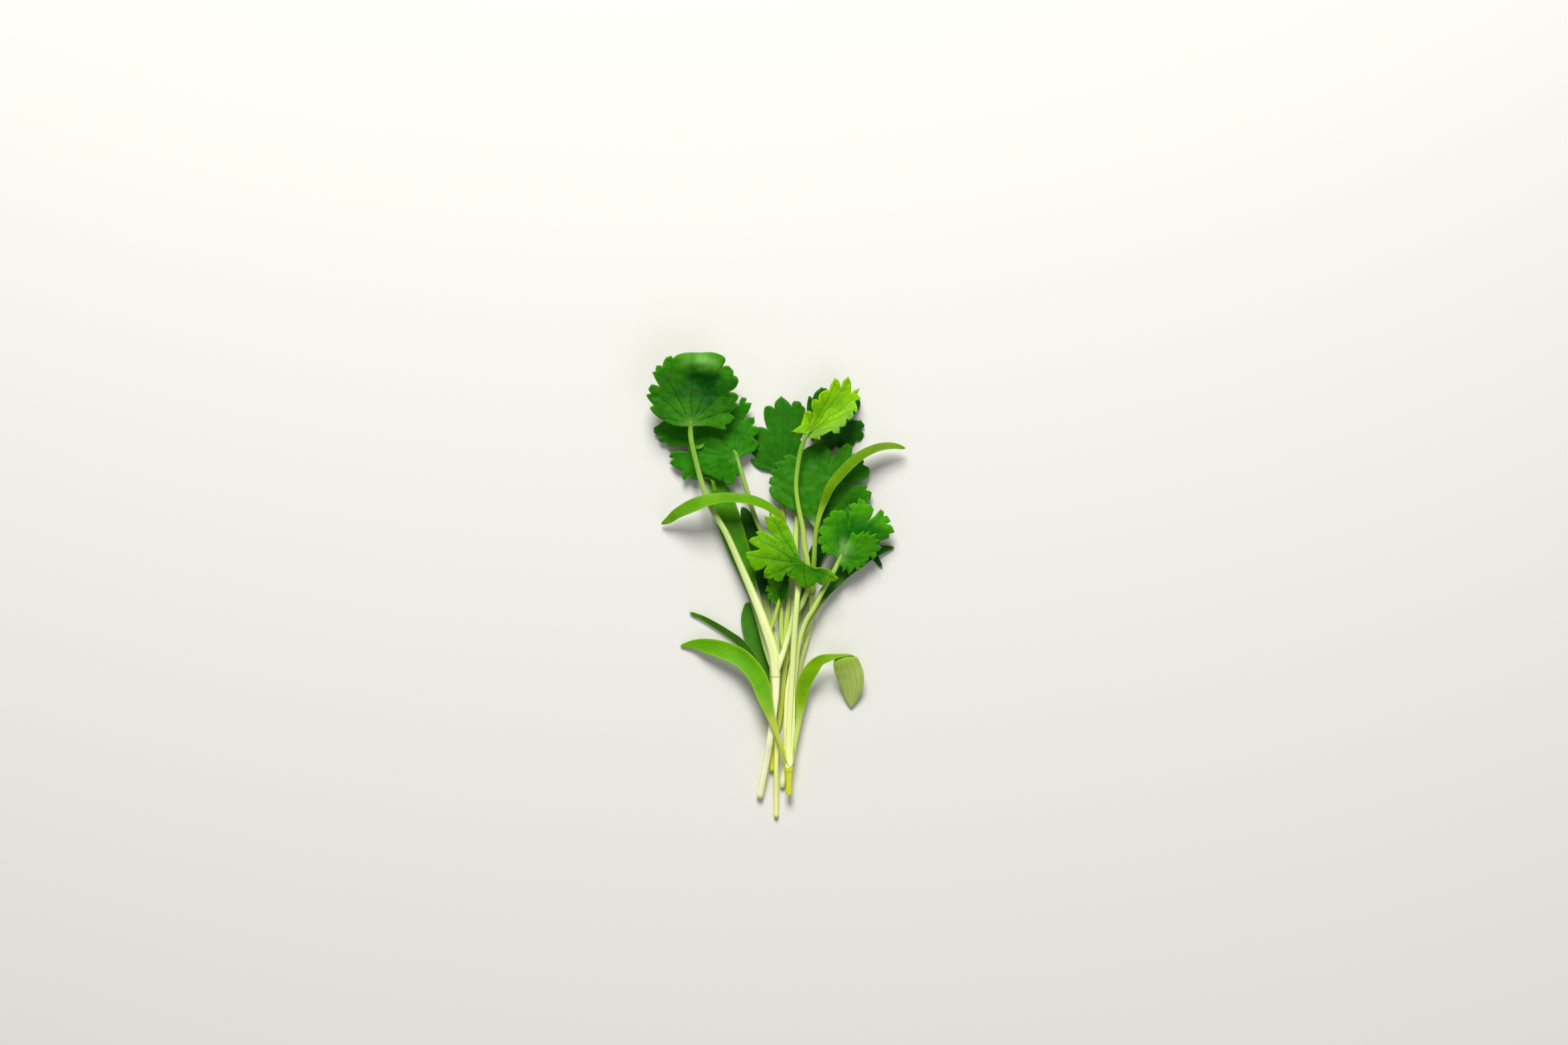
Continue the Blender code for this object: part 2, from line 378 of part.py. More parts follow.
def smooth_route(points, step):
    """Read points about a step apart from a smooth curve through the route's own points."""
    rows = [np.array(point, dtype=float) for point in points]
    rows = [2 * rows[0] - rows[1]] + rows + [2 * rows[-1] - rows[-2]]
    route = []
    for a, b, c, d in zip(rows, rows[1:], rows[2:], rows[3:]):
        pieces = max(1, round(float(np.linalg.norm((c - b)[:3])) / step))
        for k in range(pieces):
            t = k / pieces
            row = b + 0.5 * t * (c - a + t * (2 * a - 5 * b + 4 * c - d + t * (3 * (b - c) + d - a)))
            route.append(row)
    route.append(rows[-2])
    return route


def placed(x, y, z):
    """Turn a point of the lists into metres in the part's frame."""
    return Vector((x, y, z)) * MM


def evaluated_copy(item, name):
    """Return a plain mesh object with the shape that the given object shows, and remove that object."""
    depsgraph = bpy.context.evaluated_depsgraph_get()
    depsgraph.update()
    mesh = bpy.data.meshes.new_from_object(item.evaluated_get(depsgraph))
    bpy.data.objects.remove(item, do_unlink=True)
    shape = bmesh.new()
    shape.from_mesh(mesh)
    bmesh.ops.remove_doubles(shape, verts=shape.verts, dist=WELD * MM)
    bmesh.ops.triangulate(shape, faces=shape.faces)
    bmesh.ops.recalc_face_normals(shape, faces=shape.faces)
    shape.to_mesh(mesh)
    shape.free()
    return bpy.data.objects.new(name, mesh)


def tube(name, points):
    """Make a round stem or petiole whose diameter follows its route."""
    route = smooth_route(points, TUBE_STEP)
    curve = bpy.data.curves.new(name, "CURVE")
    curve.dimensions = "3D"
    curve.bevel_depth = MM
    curve.bevel_resolution = 2
    curve.use_fill_caps = True
    spline = curve.splines.new("POLY")
    spline.points.add(len(route) - 1)
    for spot, (x, y, z, diameter) in zip(spline.points, route):
        spot.co = (*placed(x, y, z), 1.0)
        spot.radius = diameter / 2
    item = bpy.data.objects.new(name, curve)
    bpy.context.scene.collection.objects.link(item)
    return evaluated_copy(item, name)


def thickened(name, mesh):
    """Give an open surface its thickness, half of it on each side."""
    item = bpy.data.objects.new(name, mesh)
    bpy.context.scene.collection.objects.link(item)
    shell = item.modifiers.new("thickness", "SOLIDIFY")
    shell.thickness = BLADE_THICKNESS * MM
    shell.offset = 0.0
    return evaluated_copy(item, name)


def seed_leaf(name, points):
    """Make a strap along a route, shallowly channelled, with its own width and roll at every point."""
    route = smooth_route(points, STRAP_STEP)
    centres = [placed(*row[:3]) for row in route]
    shape = bmesh.new()
    rows = []
    for before, centre, after, row in zip(centres[:1] + centres, centres, centres[1:] + centres[-1:], route):
        ahead = (after - before).normalized()
        level = ahead.cross(Vector((0, 0, 1))).normalized()
        above = level.cross(ahead)
        roll = math.radians(row[4])
        side = level * math.cos(roll) + above * math.sin(roll)
        normal = side.cross(ahead)
        half = max(row[3], SMALLEST_WIDTH) / 2 * MM
        middle = shape.verts.new(centre - normal * 2 * half * CHANNEL)
        rows.append((shape.verts.new(centre - side * half), middle, shape.verts.new(centre + side * half)))
    for near, far in zip(rows, rows[1:]):
        shape.faces.new((near[0], near[1], far[1], far[0]))
        shape.faces.new((near[1], near[2], far[2], far[1]))
    bmesh.ops.triangulate(shape, faces=shape.faces)
    mesh = bpy.data.meshes.new(name)
    shape.to_mesh(mesh)
    shape.free()
    return thickened(name, mesh)


def margin_line(margin, step):
    """Join the scallops into one closed line, rounded along each scallop and sharp in the notches."""
    line = []
    for scallop, following in zip(margin, margin[1:] + margin[:1]):
        line += smooth_route(scallop + following[:1], step)[:-1]
    return [(float(x), float(y)) for x, y in line]


def height_through(posts):
    """Return the smoothest height function, a thin plate, that passes through the posts."""
    spots = np.array([post[:2] for post in posts])
    heights = np.array([post[2] for post in posts])
    count = len(posts)
    gaps = np.linalg.norm(spots[:, None] - spots[None], axis=2)
    flat = np.column_stack((np.ones(count), spots))
    system = np.zeros((count + 3, count + 3))
    system[:count, :count] = bending(gaps)
    system[:count, count:] = flat
    system[count:, :count] = flat.T
    weights = np.linalg.solve(system, np.append(heights, (0, 0, 0)))

    def height(x, y):
        near = bending(np.hypot(spots[:, 0] - x, spots[:, 1] - y))
        return float(near @ weights[:count] + weights[count:] @ (1, x, y))

    return height


def bending(distance):
    """Return the thin plate kernel for a distance."""
    return distance ** 2 * np.log(np.maximum(distance, TINY))


def inner_points(line):
    """Return evenly set points inside a closed line, clear of its edge."""
    corners = np.array(line)
    low = corners.min(axis=0)
    high = corners.max(axis=0)
    ahead = np.roll(corners, -1, axis=0)
    points = []
    row_height = MESH_STEP * math.sqrt(0.75)
    for j in range(int((high[1] - low[1]) / row_height) + 1):
        for i in range(int((high[0] - low[0]) / MESH_STEP) + 2):
            spot = np.array((low[0] + (i - 0.5 * (j % 2)) * MESH_STEP, low[1] + (j + 0.5) * row_height))
            edges = ahead - corners
            along = np.clip(((spot - corners) * edges).sum(1) / (edges ** 2).sum(1), 0, 1)
            reach = np.linalg.norm(corners + along[:, None] * edges - spot, axis=1).min()
            crossed = (corners[:, 1] > spot[1]) != (ahead[:, 1] > spot[1])
            rise = np.where(crossed, ahead[:, 1] - corners[:, 1], 1.0)
            cut = corners[:, 0] + (spot[1] - corners[:, 1]) * (ahead[:, 0] - corners[:, 0]) / rise
            inside = np.count_nonzero(crossed & (cut > spot[0])) % 2 == 1
            if inside and reach > MESH_CLEARANCE:
                points.append((float(spot[0]), float(spot[1])))
    return points


def true_leaf(name, margin, posts):
    """Make a lobed and toothed blade that passes through its posts."""
    line = margin_line(margin, MARGIN_STEP)
    height = height_through(posts)
    spots = [Vector(point) for point in line + inner_points(line)]
    net = delaunay_2d_cdt(spots, [], [list(range(len(line)))], 1, WELD)
    mesh = bpy.data.meshes.new(name)
    mesh.from_pydata([placed(x, y, height(x, y)) for x, y in net[0]], [], net[2])
    return thickened(name, mesh)


def stand_on_origin(items):
    """Move the bunch so that the middle of its underside is the origin."""
    corners = np.array([vertex.co for item in items for vertex in item.data.vertices])
    low = corners.min(axis=0)
    high = corners.max(axis=0)
    for item in items:
        item.data.transform(Matrix.Translation((-(low[0] + high[0]) / 2, -(low[1] + high[1]) / 2, -low[2])))


def fuse(name, pieces, collection):
    """Join the pieces of one seedling into one closed body."""
    tools = make_collection(name + "_pieces")
    body = pieces[0]
    bpy.context.scene.collection.objects.link(body)
    for piece in pieces[1:]:
        tools.objects.link(piece)
    union = body.modifiers.new("union", "BOOLEAN")
    union.operation = "UNION"
    union.operand_type = "COLLECTION"
    union.collection = tools
    union.solver = "EXACT"
    joined = evaluated_copy(body, name)
    for piece in pieces[1:]:
        bpy.data.objects.remove(piece, do_unlink=True)
    bpy.data.collections.remove(tools)
    joined.data.materials.clear()
    joined.data.materials.append(leaf_material(name + "_green"))
    collection.objects.link(joined)
    return joined


def build():
    """Build the bunch."""
    clear_scene()
    bunch = make_collection("coriander_bunch")
    fuse("seedling_left", [
        tube("stem", LEFT_STEM),
        tube("fan_petiole", FAN_PETIOLE),
        tube("middle_petiole", MIDDLE_PETIOLE),
        seed_leaf("broad_seed_leaf", BROAD_SEED_LEAF),
        seed_leaf("dark_seed_leaf", DARK_SEED_LEAF),
        true_leaf("fan_leaf", FAN_MARGIN, FAN_POSTS),
        true_leaf("middle_leaf", MIDDLE_MARGIN, MIDDLE_POSTS),
    ], bunch)
    fuse("seedling_right", [
        tube("stem", RIGHT_STEM),
        tube("folded_petiole", FOLDED_PETIOLE),
        tube("large_petiole", LARGE_PETIOLE),
        seed_leaf("right_seed_leaf", RIGHT_SEED_LEAF),
        seed_leaf("arched_seed_leaf", ARCHED_SEED_LEAF),
        true_leaf("folded_leaf", FOLDED_MARGIN, FOLDED_POSTS),
        true_leaf("large_leaf", LARGE_MARGIN, LARGE_POSTS),
    ], bunch)
    fuse("seedling_front", [
        tube("stem", FRONT_STEM),
        tube("front_petiole", FRONT_PETIOLE),
        tube("side_petiole", SIDE_PETIOLE),
        seed_leaf("left_seed_leaf", LEFT_SEED_LEAF),
        seed_leaf("turned_seed_leaf", TURNED_SEED_LEAF),
        true_leaf("back_leaf", BACK_MARGIN, BACK_POSTS),
        true_leaf("triple_leaf", TRIPLE_MARGIN, TRIPLE_POSTS),
    ], bunch)
    fuse("seedling_low", [
        tube("stem", LOW_STEM),
        tube("flat_petiole", FLAT_PETIOLE),
        tube("under_petiole", UNDER_PETIOLE),
        seed_leaf("side_seed_leaf", SIDE_SEED_LEAF),
        seed_leaf("hidden_seed_leaf", HIDDEN_SEED_LEAF),
        true_leaf("flat_leaf", FLAT_MARGIN, FLAT_POSTS),
        true_leaf("under_leaf", UNDER_MARGIN, UNDER_POSTS),
    ], bunch)
    fuse("seedling_small", [
        tube("stem", SMALL_STEM),
        tube("small_petiole", SMALL_PETIOLE),
        seed_leaf("creased_seed_leaf", CREASED_SEED_LEAF),
        seed_leaf("round_seed_leaf", ROUND_SEED_LEAF),
        true_leaf("small_leaf", SMALL_MARGIN, SMALL_POSTS),
    ], bunch)
    stand_on_origin(list(bunch.objects))


build()
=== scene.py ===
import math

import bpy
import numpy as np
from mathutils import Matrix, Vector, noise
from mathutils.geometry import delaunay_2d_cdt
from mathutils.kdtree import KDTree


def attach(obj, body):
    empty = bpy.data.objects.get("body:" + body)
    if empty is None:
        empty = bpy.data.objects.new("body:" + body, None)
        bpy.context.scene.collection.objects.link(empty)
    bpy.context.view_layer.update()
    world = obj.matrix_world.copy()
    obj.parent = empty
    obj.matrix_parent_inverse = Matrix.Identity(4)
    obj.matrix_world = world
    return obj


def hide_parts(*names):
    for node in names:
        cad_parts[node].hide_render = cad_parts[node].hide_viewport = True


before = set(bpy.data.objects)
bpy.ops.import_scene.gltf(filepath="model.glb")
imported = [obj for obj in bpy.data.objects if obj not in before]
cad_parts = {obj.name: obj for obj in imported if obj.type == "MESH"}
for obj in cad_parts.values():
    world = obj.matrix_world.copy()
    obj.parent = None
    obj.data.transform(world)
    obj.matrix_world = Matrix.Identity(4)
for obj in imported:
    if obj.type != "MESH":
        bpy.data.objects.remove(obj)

# %% [markdown]
# A small bunch of young coriander lies flat and is seen from straight above. Five seedlings make it
# up. Each has a pale cut stem, a node where everything branches, two long smooth seed leaves and one or two
# toothed true leaves on thin stalks, which are called petioles.
#
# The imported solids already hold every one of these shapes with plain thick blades. Here each piece is made
# again from the same routes and outlines, but finer: thin blades with veins, ribbed stalks, and a finish
# that changes over each surface as it does on a living plant.

MM = 0.001
BODY = "root"
# The solids were centred after they were made from the same lists, and this repeats that small move.
SHIFT = np.array((0.061, -0.022, 0.004))

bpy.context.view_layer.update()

# %% [markdown]
# The camera looks straight down, as the photograph does. A long lens from far away keeps the stems straight
# and the leaves their true size. Its distance follows from how wide the photograph's frame is at the bunch.

# %% Camera
FRAME_WIDTH = 305.6
FRAME_MIDDLE = (1.4, 12.3)
LENS = 85.0
SENSOR = 36.0
BUNCH_TOP = 4.0


def placed(name, data):
    """Put an object with this data into the scene."""
    item = bpy.data.objects.new(name, data)
    bpy.context.scene.collection.objects.link(item)
    return item


def add_camera():
    """Place the camera over the middle of the photograph's frame."""
    data = bpy.data.cameras.new("camera")
    data.lens = LENS
    data.sensor_width = SENSOR
    data.clip_start = 0.01
    camera = placed("camera", data)
    distance = FRAME_WIDTH * LENS / SENSOR
    camera.location = Vector((*FRAME_MIDDLE, distance + BUNCH_TOP)) * MM
    bpy.context.scene.camera = camera
    return distance


print("camera is", round(add_camera()), "mm above the bunch")

# %% [markdown]
# Every stem, petiole and seed leaf follows a smooth route through a few listed points. A curve that
# passes through its points, and not only near them, lets a point be read off the plant and used as it is.

# %% Smooth routes
def smooth_route(points, step):
    """Read points about a step apart from a smooth curve through the route's own points."""
    rows = [np.array(point, dtype=float) for point in points]
    rows = [2 * rows[0] - rows[1]] + rows + [2 * rows[-1] - rows[-2]]
    route = []
    for a, b, c, d in zip(rows, rows[1:], rows[2:], rows[3:]):
        pieces = max(1, round(float(np.linalg.norm((c - b)[:3])) / step))
        for k in range(pieces):
            t = k / pieces
            route.append(b + 0.5 * t * (c - a + t * (2 * a - 5 * b + 4 * c - d + t * (3 * (b - c) + d - a))))
    route.append(rows[-2])
    return np.array(route)


print("a route of three points becomes", len(smooth_route([(0, 0), (5, 1), (9, 0)], 0.5)), "points")

# %% [markdown]
# A material is a small sum: a base colour, plus a little more green near the edge, less on the veins. Such
# sums are easier to read as sums than as boxes joined by wires, so this class lets nodes be written as
# Python. The same class serves the Geometry Nodes, whose Math nodes are the same.

# %% Writing nodes as sums
class Signal:
    """A value that flows through a node tree."""

    def __init__(self, wiring, socket):
        self.wiring = wiring
        self.socket = socket

    def sum(self, operation, *values):
        """Add one Math node."""
        return self.wiring.node("ShaderNodeMath", {"operation": operation}, dict(enumerate(values)))

    def __add__(self, other):
        return self.sum("ADD", self, other)

    def __radd__(self, other):
        return self.sum("ADD", other, self)

    def __sub__(self, other):
        return self.sum("SUBTRACT", self, other)

    def __rsub__(self, other):
        return self.sum("SUBTRACT", other, self)

    def __mul__(self, other):
        return self.sum("MULTIPLY", self, other)

    def __rmul__(self, other):
        return self.sum("MULTIPLY", other, self)

    def cos(self):
        """Return the cosine of the value."""
        return self.sum("COSINE", self)

    def sin(self):
        """Return the sine of the value."""
        return self.sum("SINE", self)

    def between(self, low, high):
        """Rise smoothly from 0 to 1 while the value goes from low to high."""
        inputs = {"Value": self, "From Min": low, "From Max": high}
        return self.wiring.node("ShaderNodeMapRange", {"interpolation_type": "SMOOTHSTEP"}, inputs)


class Wiring:
    """A node tree that is written node by node."""

    def __init__(self, tree):
        self.tree = tree

    def node(self, kind, settings=None, inputs=None, output=0):
        """Add a node, give it its settings first and then its values and links, and return one output."""
        node = self.tree.nodes.new(kind)
        for name, value in (settings or {}).items():
            setattr(node, name, value)
        for name, value in (inputs or {}).items():
            self.feed(self.find(node.inputs, name), value)
        return None if output is None else Signal(self, self.find(node.outputs, output))

    def find(self, sockets, name):
        """Find a socket by its number, identifier or name."""
        if isinstance(name, int):
            return sockets[name]
        same = [socket for socket in sockets if socket.identifier == name]
        return same[0] if same else sockets[name]

    def feed(self, socket, value):
        """Link a signal to a socket, or set the socket's own value."""
        if isinstance(value, Signal):
            self.tree.links.new(value.socket, socket)
        else:
            socket.default_value = value

    def mix(self, amount, first, second):
        """Blend two colours. Each is a signal, or its red, green and blue as a screen shows them."""
        first, second = (colour(*value) if isinstance(value, tuple) else value for value in (first, second))
        inputs = {"Factor_Float": amount, "A_Color": first, "B_Color": second}
        return self.node("ShaderNodeMix", {"data_type": "RGBA"}, inputs, "Result_Color")

    def attribute(self, name):
        """Read a number that the mesh carries."""
        return self.node("ShaderNodeAttribute", {"attribute_name": name}, output="Fac")


print("node sums are ready")


# %% Colours
def colour(red, green, blue):
    """Turn a colour as a screen shows it, 0 to 255, into the linear one that the shaders use."""
    parts = [v / 255 for v in (red, green, blue)]
    return (*[p / 12.92 if p <= 0.04045 else ((p + 0.055) / 1.055) ** 2.4 for p in parts], 1.0)


print("leaf green is", [round(v, 3) for v in colour(50, 135, 0)])

# %% [markdown]
# The routes and outlines below are in millimetres. They are the ones that the solids were made from, so
# the finer pieces lie where the solids do. Only a few ends and teeth differ, for which the solids' thick
# blades had no room. For a stem or petiole each point has x, y, z and diameter.

# %% Routes of the stems and petioles
LEFT_STEM = [
    (-3.4, -41.4, 0.75, 1.3), (-1.9, -33.4, 2.1, 1.3), (-1.5, -30.8, 2.8, 1.3), (-1.0, -27.4, 3.15, 1.3),
    (-0.3, -21.7, 3.2, 1.4), (-0.3, -17.2, 3.0, 1.9),
]
FAN_PETIOLE = [
    (-0.3, -17.6, 3.0, 1.9), (-0.7, -13.1, 3.4, 2.1), (-2.4, -7.7, 3.8, 1.9), (-3.6, -4.4, 3.8, 1.7),
    (-6.6, 2.7, 3.8, 1.4), (-9.9, 10.1, 3.8, 1.2), (-12.5, 14.5, 3.8, 1.1), (-13.6, 17.0, 3.9, 1.1),
    (-14.5, 19.4, 4.2, 1.1), (-15.6, 23.5, 5.0, 1.0), (-16.7, 28.4, 6.0, 1.0), (-16.8, 31.6, 6.3, 0.9),
]
MIDDLE_PETIOLE = [
    (-0.3, -17.6, 3.0, 1.5), (0.1, -16.2, 3.3, 1.2), (1.1, -13.4, 3.4, 1.05), (1.8, -11.1, 3.4, 1.05),
    (2.7, -7.9, 3.4, 1.05), (3.2, -6.0, 3.4, 1.05), (4.7, -3.8, 3.4, 1.05), (5.6, -1.7, 4.1, 1.0),
    (6.1, 0.7, 5.1, 0.9), (6.0, 2.6, 5.9, 0.75), (5.4, 4.3, 6.5, 0.45),
]

RIGHT_STEM = [
    (1.0, -39.5, 0.5, 1.0), (2.4, -30.0, 0.5, 1.0), (3.7, -20.9, 0.5, 1.0), (4.5, -15.5, 0.55, 1.0),
    (5.9, -10.0, 0.9, 1.0), (6.7, -5.3, 1.4, 1.0), (6.7, -1.8, 2.0, 1.1), (6.6, -0.6, 2.1, 1.6),
]
FOLDED_PETIOLE = [
    (6.6, -1.0, 2.1, 1.5), (6.2, 1.5, 3.0, 1.3), (5.8, 5.1, 3.6, 1.2), (5.3, 7.7, 4.0, 1.1),
    (5.0, 11.2, 4.3, 1.0), (4.2, 15.1, 4.5, 0.9), (3.7, 19.1, 4.6, 0.9), (4.0, 23.1, 4.9, 0.9),
    (4.7, 26.7, 5.4, 0.9), (5.9, 29.7, 6.0, 0.8),
]
LARGE_PETIOLE = [(6.6, -0.8, 2.1, 1.3), (7.1, 3.4, 2.7, 1.0), (7.4, 8.0, 2.9, 0.9), (7.6, 11.8, 2.9, 0.8)]

FRONT_STEM = [(2.3, -40.9, 2.0, 1.2), (2.3, -38.0, 2.0, 1.2), (2.3, -35.6, 2.1, 1.7)]
FRONT_PETIOLE = [
    (2.3, -36.0, 2.1, 1.6), (2.3, -31.3, 2.4, 1.3), (2.4, -26.1, 2.9, 1.15), (2.8, -19.6, 3.6, 1.1),
    (3.2, -12.2, 4.4, 1.1), (3.5, -7.4, 4.9, 1.1), (3.8, -3.6, 4.9, 1.1), (4.0, -0.5, 4.3, 1.1),
    (3.8, 3.8, 3.5, 1.1), (3.6, 7.8, 2.8, 1.1), (3.9, 13.1, 1.5, 1.0), (4.1, 18.1, 1.1, 1.0),
    (5.1, 23.2, 0.9, 0.9), (7.5, 28.2, 0.9, 0.8),
]
SIDE_PETIOLE = [
    (2.5, -35.0, 2.3, 1.2), (2.8, -28.7, 2.4, 0.95), (3.1, -22.2, 2.5, 0.9), (3.7, -15.7, 2.8, 0.9),
    (4.3, -11.1, 3.4, 0.9), (5.6, -7.0, 3.8, 0.9), (7.2, -4.3, 4.0, 0.9), (9.5, 0.1, 3.9, 0.9),
    (11.1, 2.9, 4.0, 0.9), (12.4, 5.6, 4.2, 0.8),
]

LOW_STEM = [
    (-1.0, -36.3, 0.55, 1.1), (-0.7, -31.3, 0.55, 1.1), (0.4, -26.8, 0.55, 1.1), (1.0, -21.7, 0.6, 1.1),
    (1.5, -16.3, 0.8, 1.2), (1.9, -14.2, 0.9, 1.5),
]
FLAT_PETIOLE = [
    (1.9, -14.6, 0.9, 1.3), (1.7, -9.2, 0.7, 1.05), (2.2, -2.7, 0.6, 1.05), (1.9, 5.1, 0.55, 1.0),
    (1.2, 12.6, 0.55, 1.0), (1.1, 16.4, 0.55, 0.95), (1.2, 22.2, 0.6, 0.8),
]
UNDER_PETIOLE = [
    (1.8, -14.4, 0.9, 1.2), (0.9, -9.9, 1.0, 0.9), (0.6, -2.7, 1.2, 0.9), (-0.7, 3.8, 1.5, 0.9),
    (-3.2, 10.6, 1.9, 0.9), (-4.7, 14.4, 2.3, 0.9), (-5.8, 18.2, 2.7, 0.9), (-6.9, 21.8, 3.0, 0.9),
    (-8.1, 25.8, 3.2, 0.8),
]

SMALL_STEM = [
    (-0.2, -45.3, 0.5, 0.9), (-0.2, -41.0, 1.0, 0.9), (-0.2, -36.5, 1.7, 0.9), (-0.1, -32.0, 1.9, 0.9),
    (-0.1, -30.4, 1.9, 1.2),
]
SMALL_PETIOLE = [
    (-0.1, -30.8, 1.9, 1.0), (-0.7, -23.5, 1.5, 0.8), (-1.2, -15.7, 1.5, 0.8), (-1.3, -9.2, 2.0, 0.8),
    (-0.5, -6.5, 2.3, 0.8), (0.3, -3.4, 2.6, 0.7),
]

print("stems start at", [stem[0][:2] for stem in (LEFT_STEM, RIGHT_STEM, FRONT_STEM, LOW_STEM, SMALL_STEM)])

# %% [markdown]
# For a seed leaf each point has x, y, z, the blade's width, and its roll in degrees, which turns the right
# edge up.

# %% Routes of the seed leaves
BROAD_SEED_LEAF = [
    (-0.4, -17.2, 3.0, 1.3, 0), (-2.0, -12.5, 2.9, 1.3, 0), (-3.4, -7.0, 2.5, 1.4, 0),
    (-4.9, -1.4, 2.4, 2.0, 0), (-6.2, 3.5, 2.2, 3.6, 0), (-7.9, 8.1, 2.1, 4.4, 0),
    (-9.4, 12.6, 1.9, 4.8, -8), (-10.4, 16.0, 1.6, 4.4, -10), (-11.5, 18.8, 1.3, 3.6, 0),
    (-13.0, 20.6, 1.0, 2.4, 20), (-14.6, 20.9, 0.6, 0.6, 30),
]
DARK_SEED_LEAF = [
    (-0.2, -16.8, 2.8, 1.0, 0), (0.2, -14.4, 2.2, 0.8, 0), (-0.3, -10.0, 1.0, 0.8, 0),
    (-1.3, -7.7, 0.85, 1.1, 0), (-2.0, -4.0, 0.8, 1.5, 0), (-2.5, -0.9, 0.8, 2.0, 0),
    (-2.9, 2.1, 0.8, 2.8, 0), (-3.5, 5.1, 0.75, 3.4, 0), (-4.3, 8.3, 0.7, 3.6, 0),
    (-5.1, 10.9, 0.7, 3.4, 0), (-6.0, 13.5, 0.6, 2.4, 0), (-6.9, 15.5, 0.4, 0.6, 0),
]
RIGHT_SEED_LEAF = [
    (6.8, -0.6, 2.2, 1.2, 0), (7.1, 4.1, 3.7, 0.8, 0), (7.3, 7.7, 4.2, 0.8, 0),
    (7.6, 10.6, 4.3, 0.9, 10), (8.3, 13.9, 4.5, 1.2, 30), (9.2, 16.5, 4.7, 2.0, 45),
    (10.3, 19.2, 4.8, 2.8, 50), (12.1, 21.5, 4.8, 3.2, 52), (14.2, 23.7, 4.6, 3.2, 52),
    (16.8, 25.7, 4.3, 2.8, 50), (19.8, 27.0, 3.8, 2.2, 45), (22.7, 27.3, 3.2, 1.5, 35),
    (25.1, 26.8, 2.6, 0.5, 30),
]
ARCHED_SEED_LEAF = [
    (6.3, -0.6, 2.2, 1.0, 0), (5.2, 3.0, 3.4, 0.8, 0), (3.6, 6.4, 4.3, 0.7, 0),
    (2.2, 9.6, 4.35, 0.75, -10), (1.3, 12.1, 4.3, 1.1, -20), (-0.1, 14.2, 4.5, 1.7, -35),
    (-2.3, 15.75, 5.0, 2.3, -44), (-5.3, 16.8, 5.9, 2.8, -48), (-9.4, 17.2, 6.4, 2.8, -48),
    (-13.0, 16.8, 6.3, 3.0, -42), (-16.3, 15.7, 5.4, 3.0, -30), (-19.4, 14.2, 3.6, 2.2, -20),
    (-21.1, 12.9, 2.2, 1.5, -10), (-22.7, 12.0, 1.0, 0.5, 0),
]
LEFT_SEED_LEAF = [
    (2.2, -35.8, 2.1, 1.2, 0), (1.2, -32.8, 2.9, 1.0, 0), (0.4, -30.2, 3.8, 1.0, 0),
    (-1.1, -25.9, 4.9, 1.6, 0), (-2.4, -21.7, 4.8, 3.0, 0), (-3.4, -18.6, 4.6, 3.4, 0),
    (-5.0, -16.1, 4.3, 3.6, 0), (-7.2, -14.0, 3.8, 3.6, 0), (-10.5, -12.6, 3.1, 3.5, 0),
    (-13.7, -11.8, 2.2, 2.9, 0), (-16.3, -11.5, 1.2, 1.8, 0), (-19.0, -11.9, 0.36, 0.5, 0),
]
TURNED_SEED_LEAF = [
    (2.5, -35.8, 2.1, 1.2, 0), (3.5, -30.8, 2.2, 0.9, 0), (4.3, -25.9, 2.3, 1.3, 0),
    (4.9, -20.9, 2.8, 2.4, 0), (5.7, -18.1, 3.3, 2.8, 0), (6.9, -16.1, 3.8, 2.8, 10),
    (8.3, -14.6, 4.3, 2.1, 10), (9.9, -14.05, 4.65, 1.6, 14), (11.3, -13.75, 4.85, 1.05, 18),
    (12.9, -13.55, 4.85, 0.7, 22), (14.3, -13.6, 4.7, 0.5, 26), (15.3, -14.0, 4.35, 0.3, 30),
    (16.0, -14.8, 3.95, 0.12, 30),
]
SIDE_SEED_LEAF = [
    (1.9, -14.4, 0.9, 1.2, 0), (2.9, -12.8, 1.2, 0.8, 0), (4.0, -11.2, 1.8, 0.8, 0),
    (5.4, -9.2, 2.4, 0.9, 0), (6.6, -6.5, 2.75, 1.0, 0), (7.9, -4.0, 2.8, 1.3, 0),
    (9.4, -1.2, 2.4, 2.2, 0), (11.2, 0.8, 2.1, 2.6, 0), (13.3, 2.9, 1.9, 2.8, 0),
    (16.2, 5.1, 1.7, 2.8, 0), (19.4, 6.7, 1.2, 2.0, 0), (23.0, 7.5, 0.4, 0.5, 0),
]
HIDDEN_SEED_LEAF = [
    (1.9, -14.2, 0.9, 1.2, 0), (3.2, -9.0, 0.6, 0.9, 0), (4.8, -4.5, 0.5, 1.4, 0),
    (6.4, 1.5, 0.6, 2.4, 0), (7.9, 6.4, 0.65, 3.2, 0), (10.3, 9.2, 0.65, 3.4, 0),
    (14.2, 9.9, 0.65, 3.2, 0), (17.5, 7.7, 0.55, 2.2, 0), (20.6, 3.4, 0.36, 0.5, 0),
]
CREASED_SEED_LEAF = [
    (-0.1, -30.6, 1.9, 1.1, 0), (-0.9, -26.1, 1.6, 0.8, 20), (-2.0, -20.9, 1.7, 1.8, 45),
    (-4.1, -15.7, 1.7, 2.6, 50), (-6.6, -11.8, 1.6, 2.6, 50), (-9.6, -9.4, 1.4, 2.2, 50),
    (-14.0, -6.7, 1.0, 1.4, 40), (-17.2, -5.3, 0.5, 0.5, 20),
]
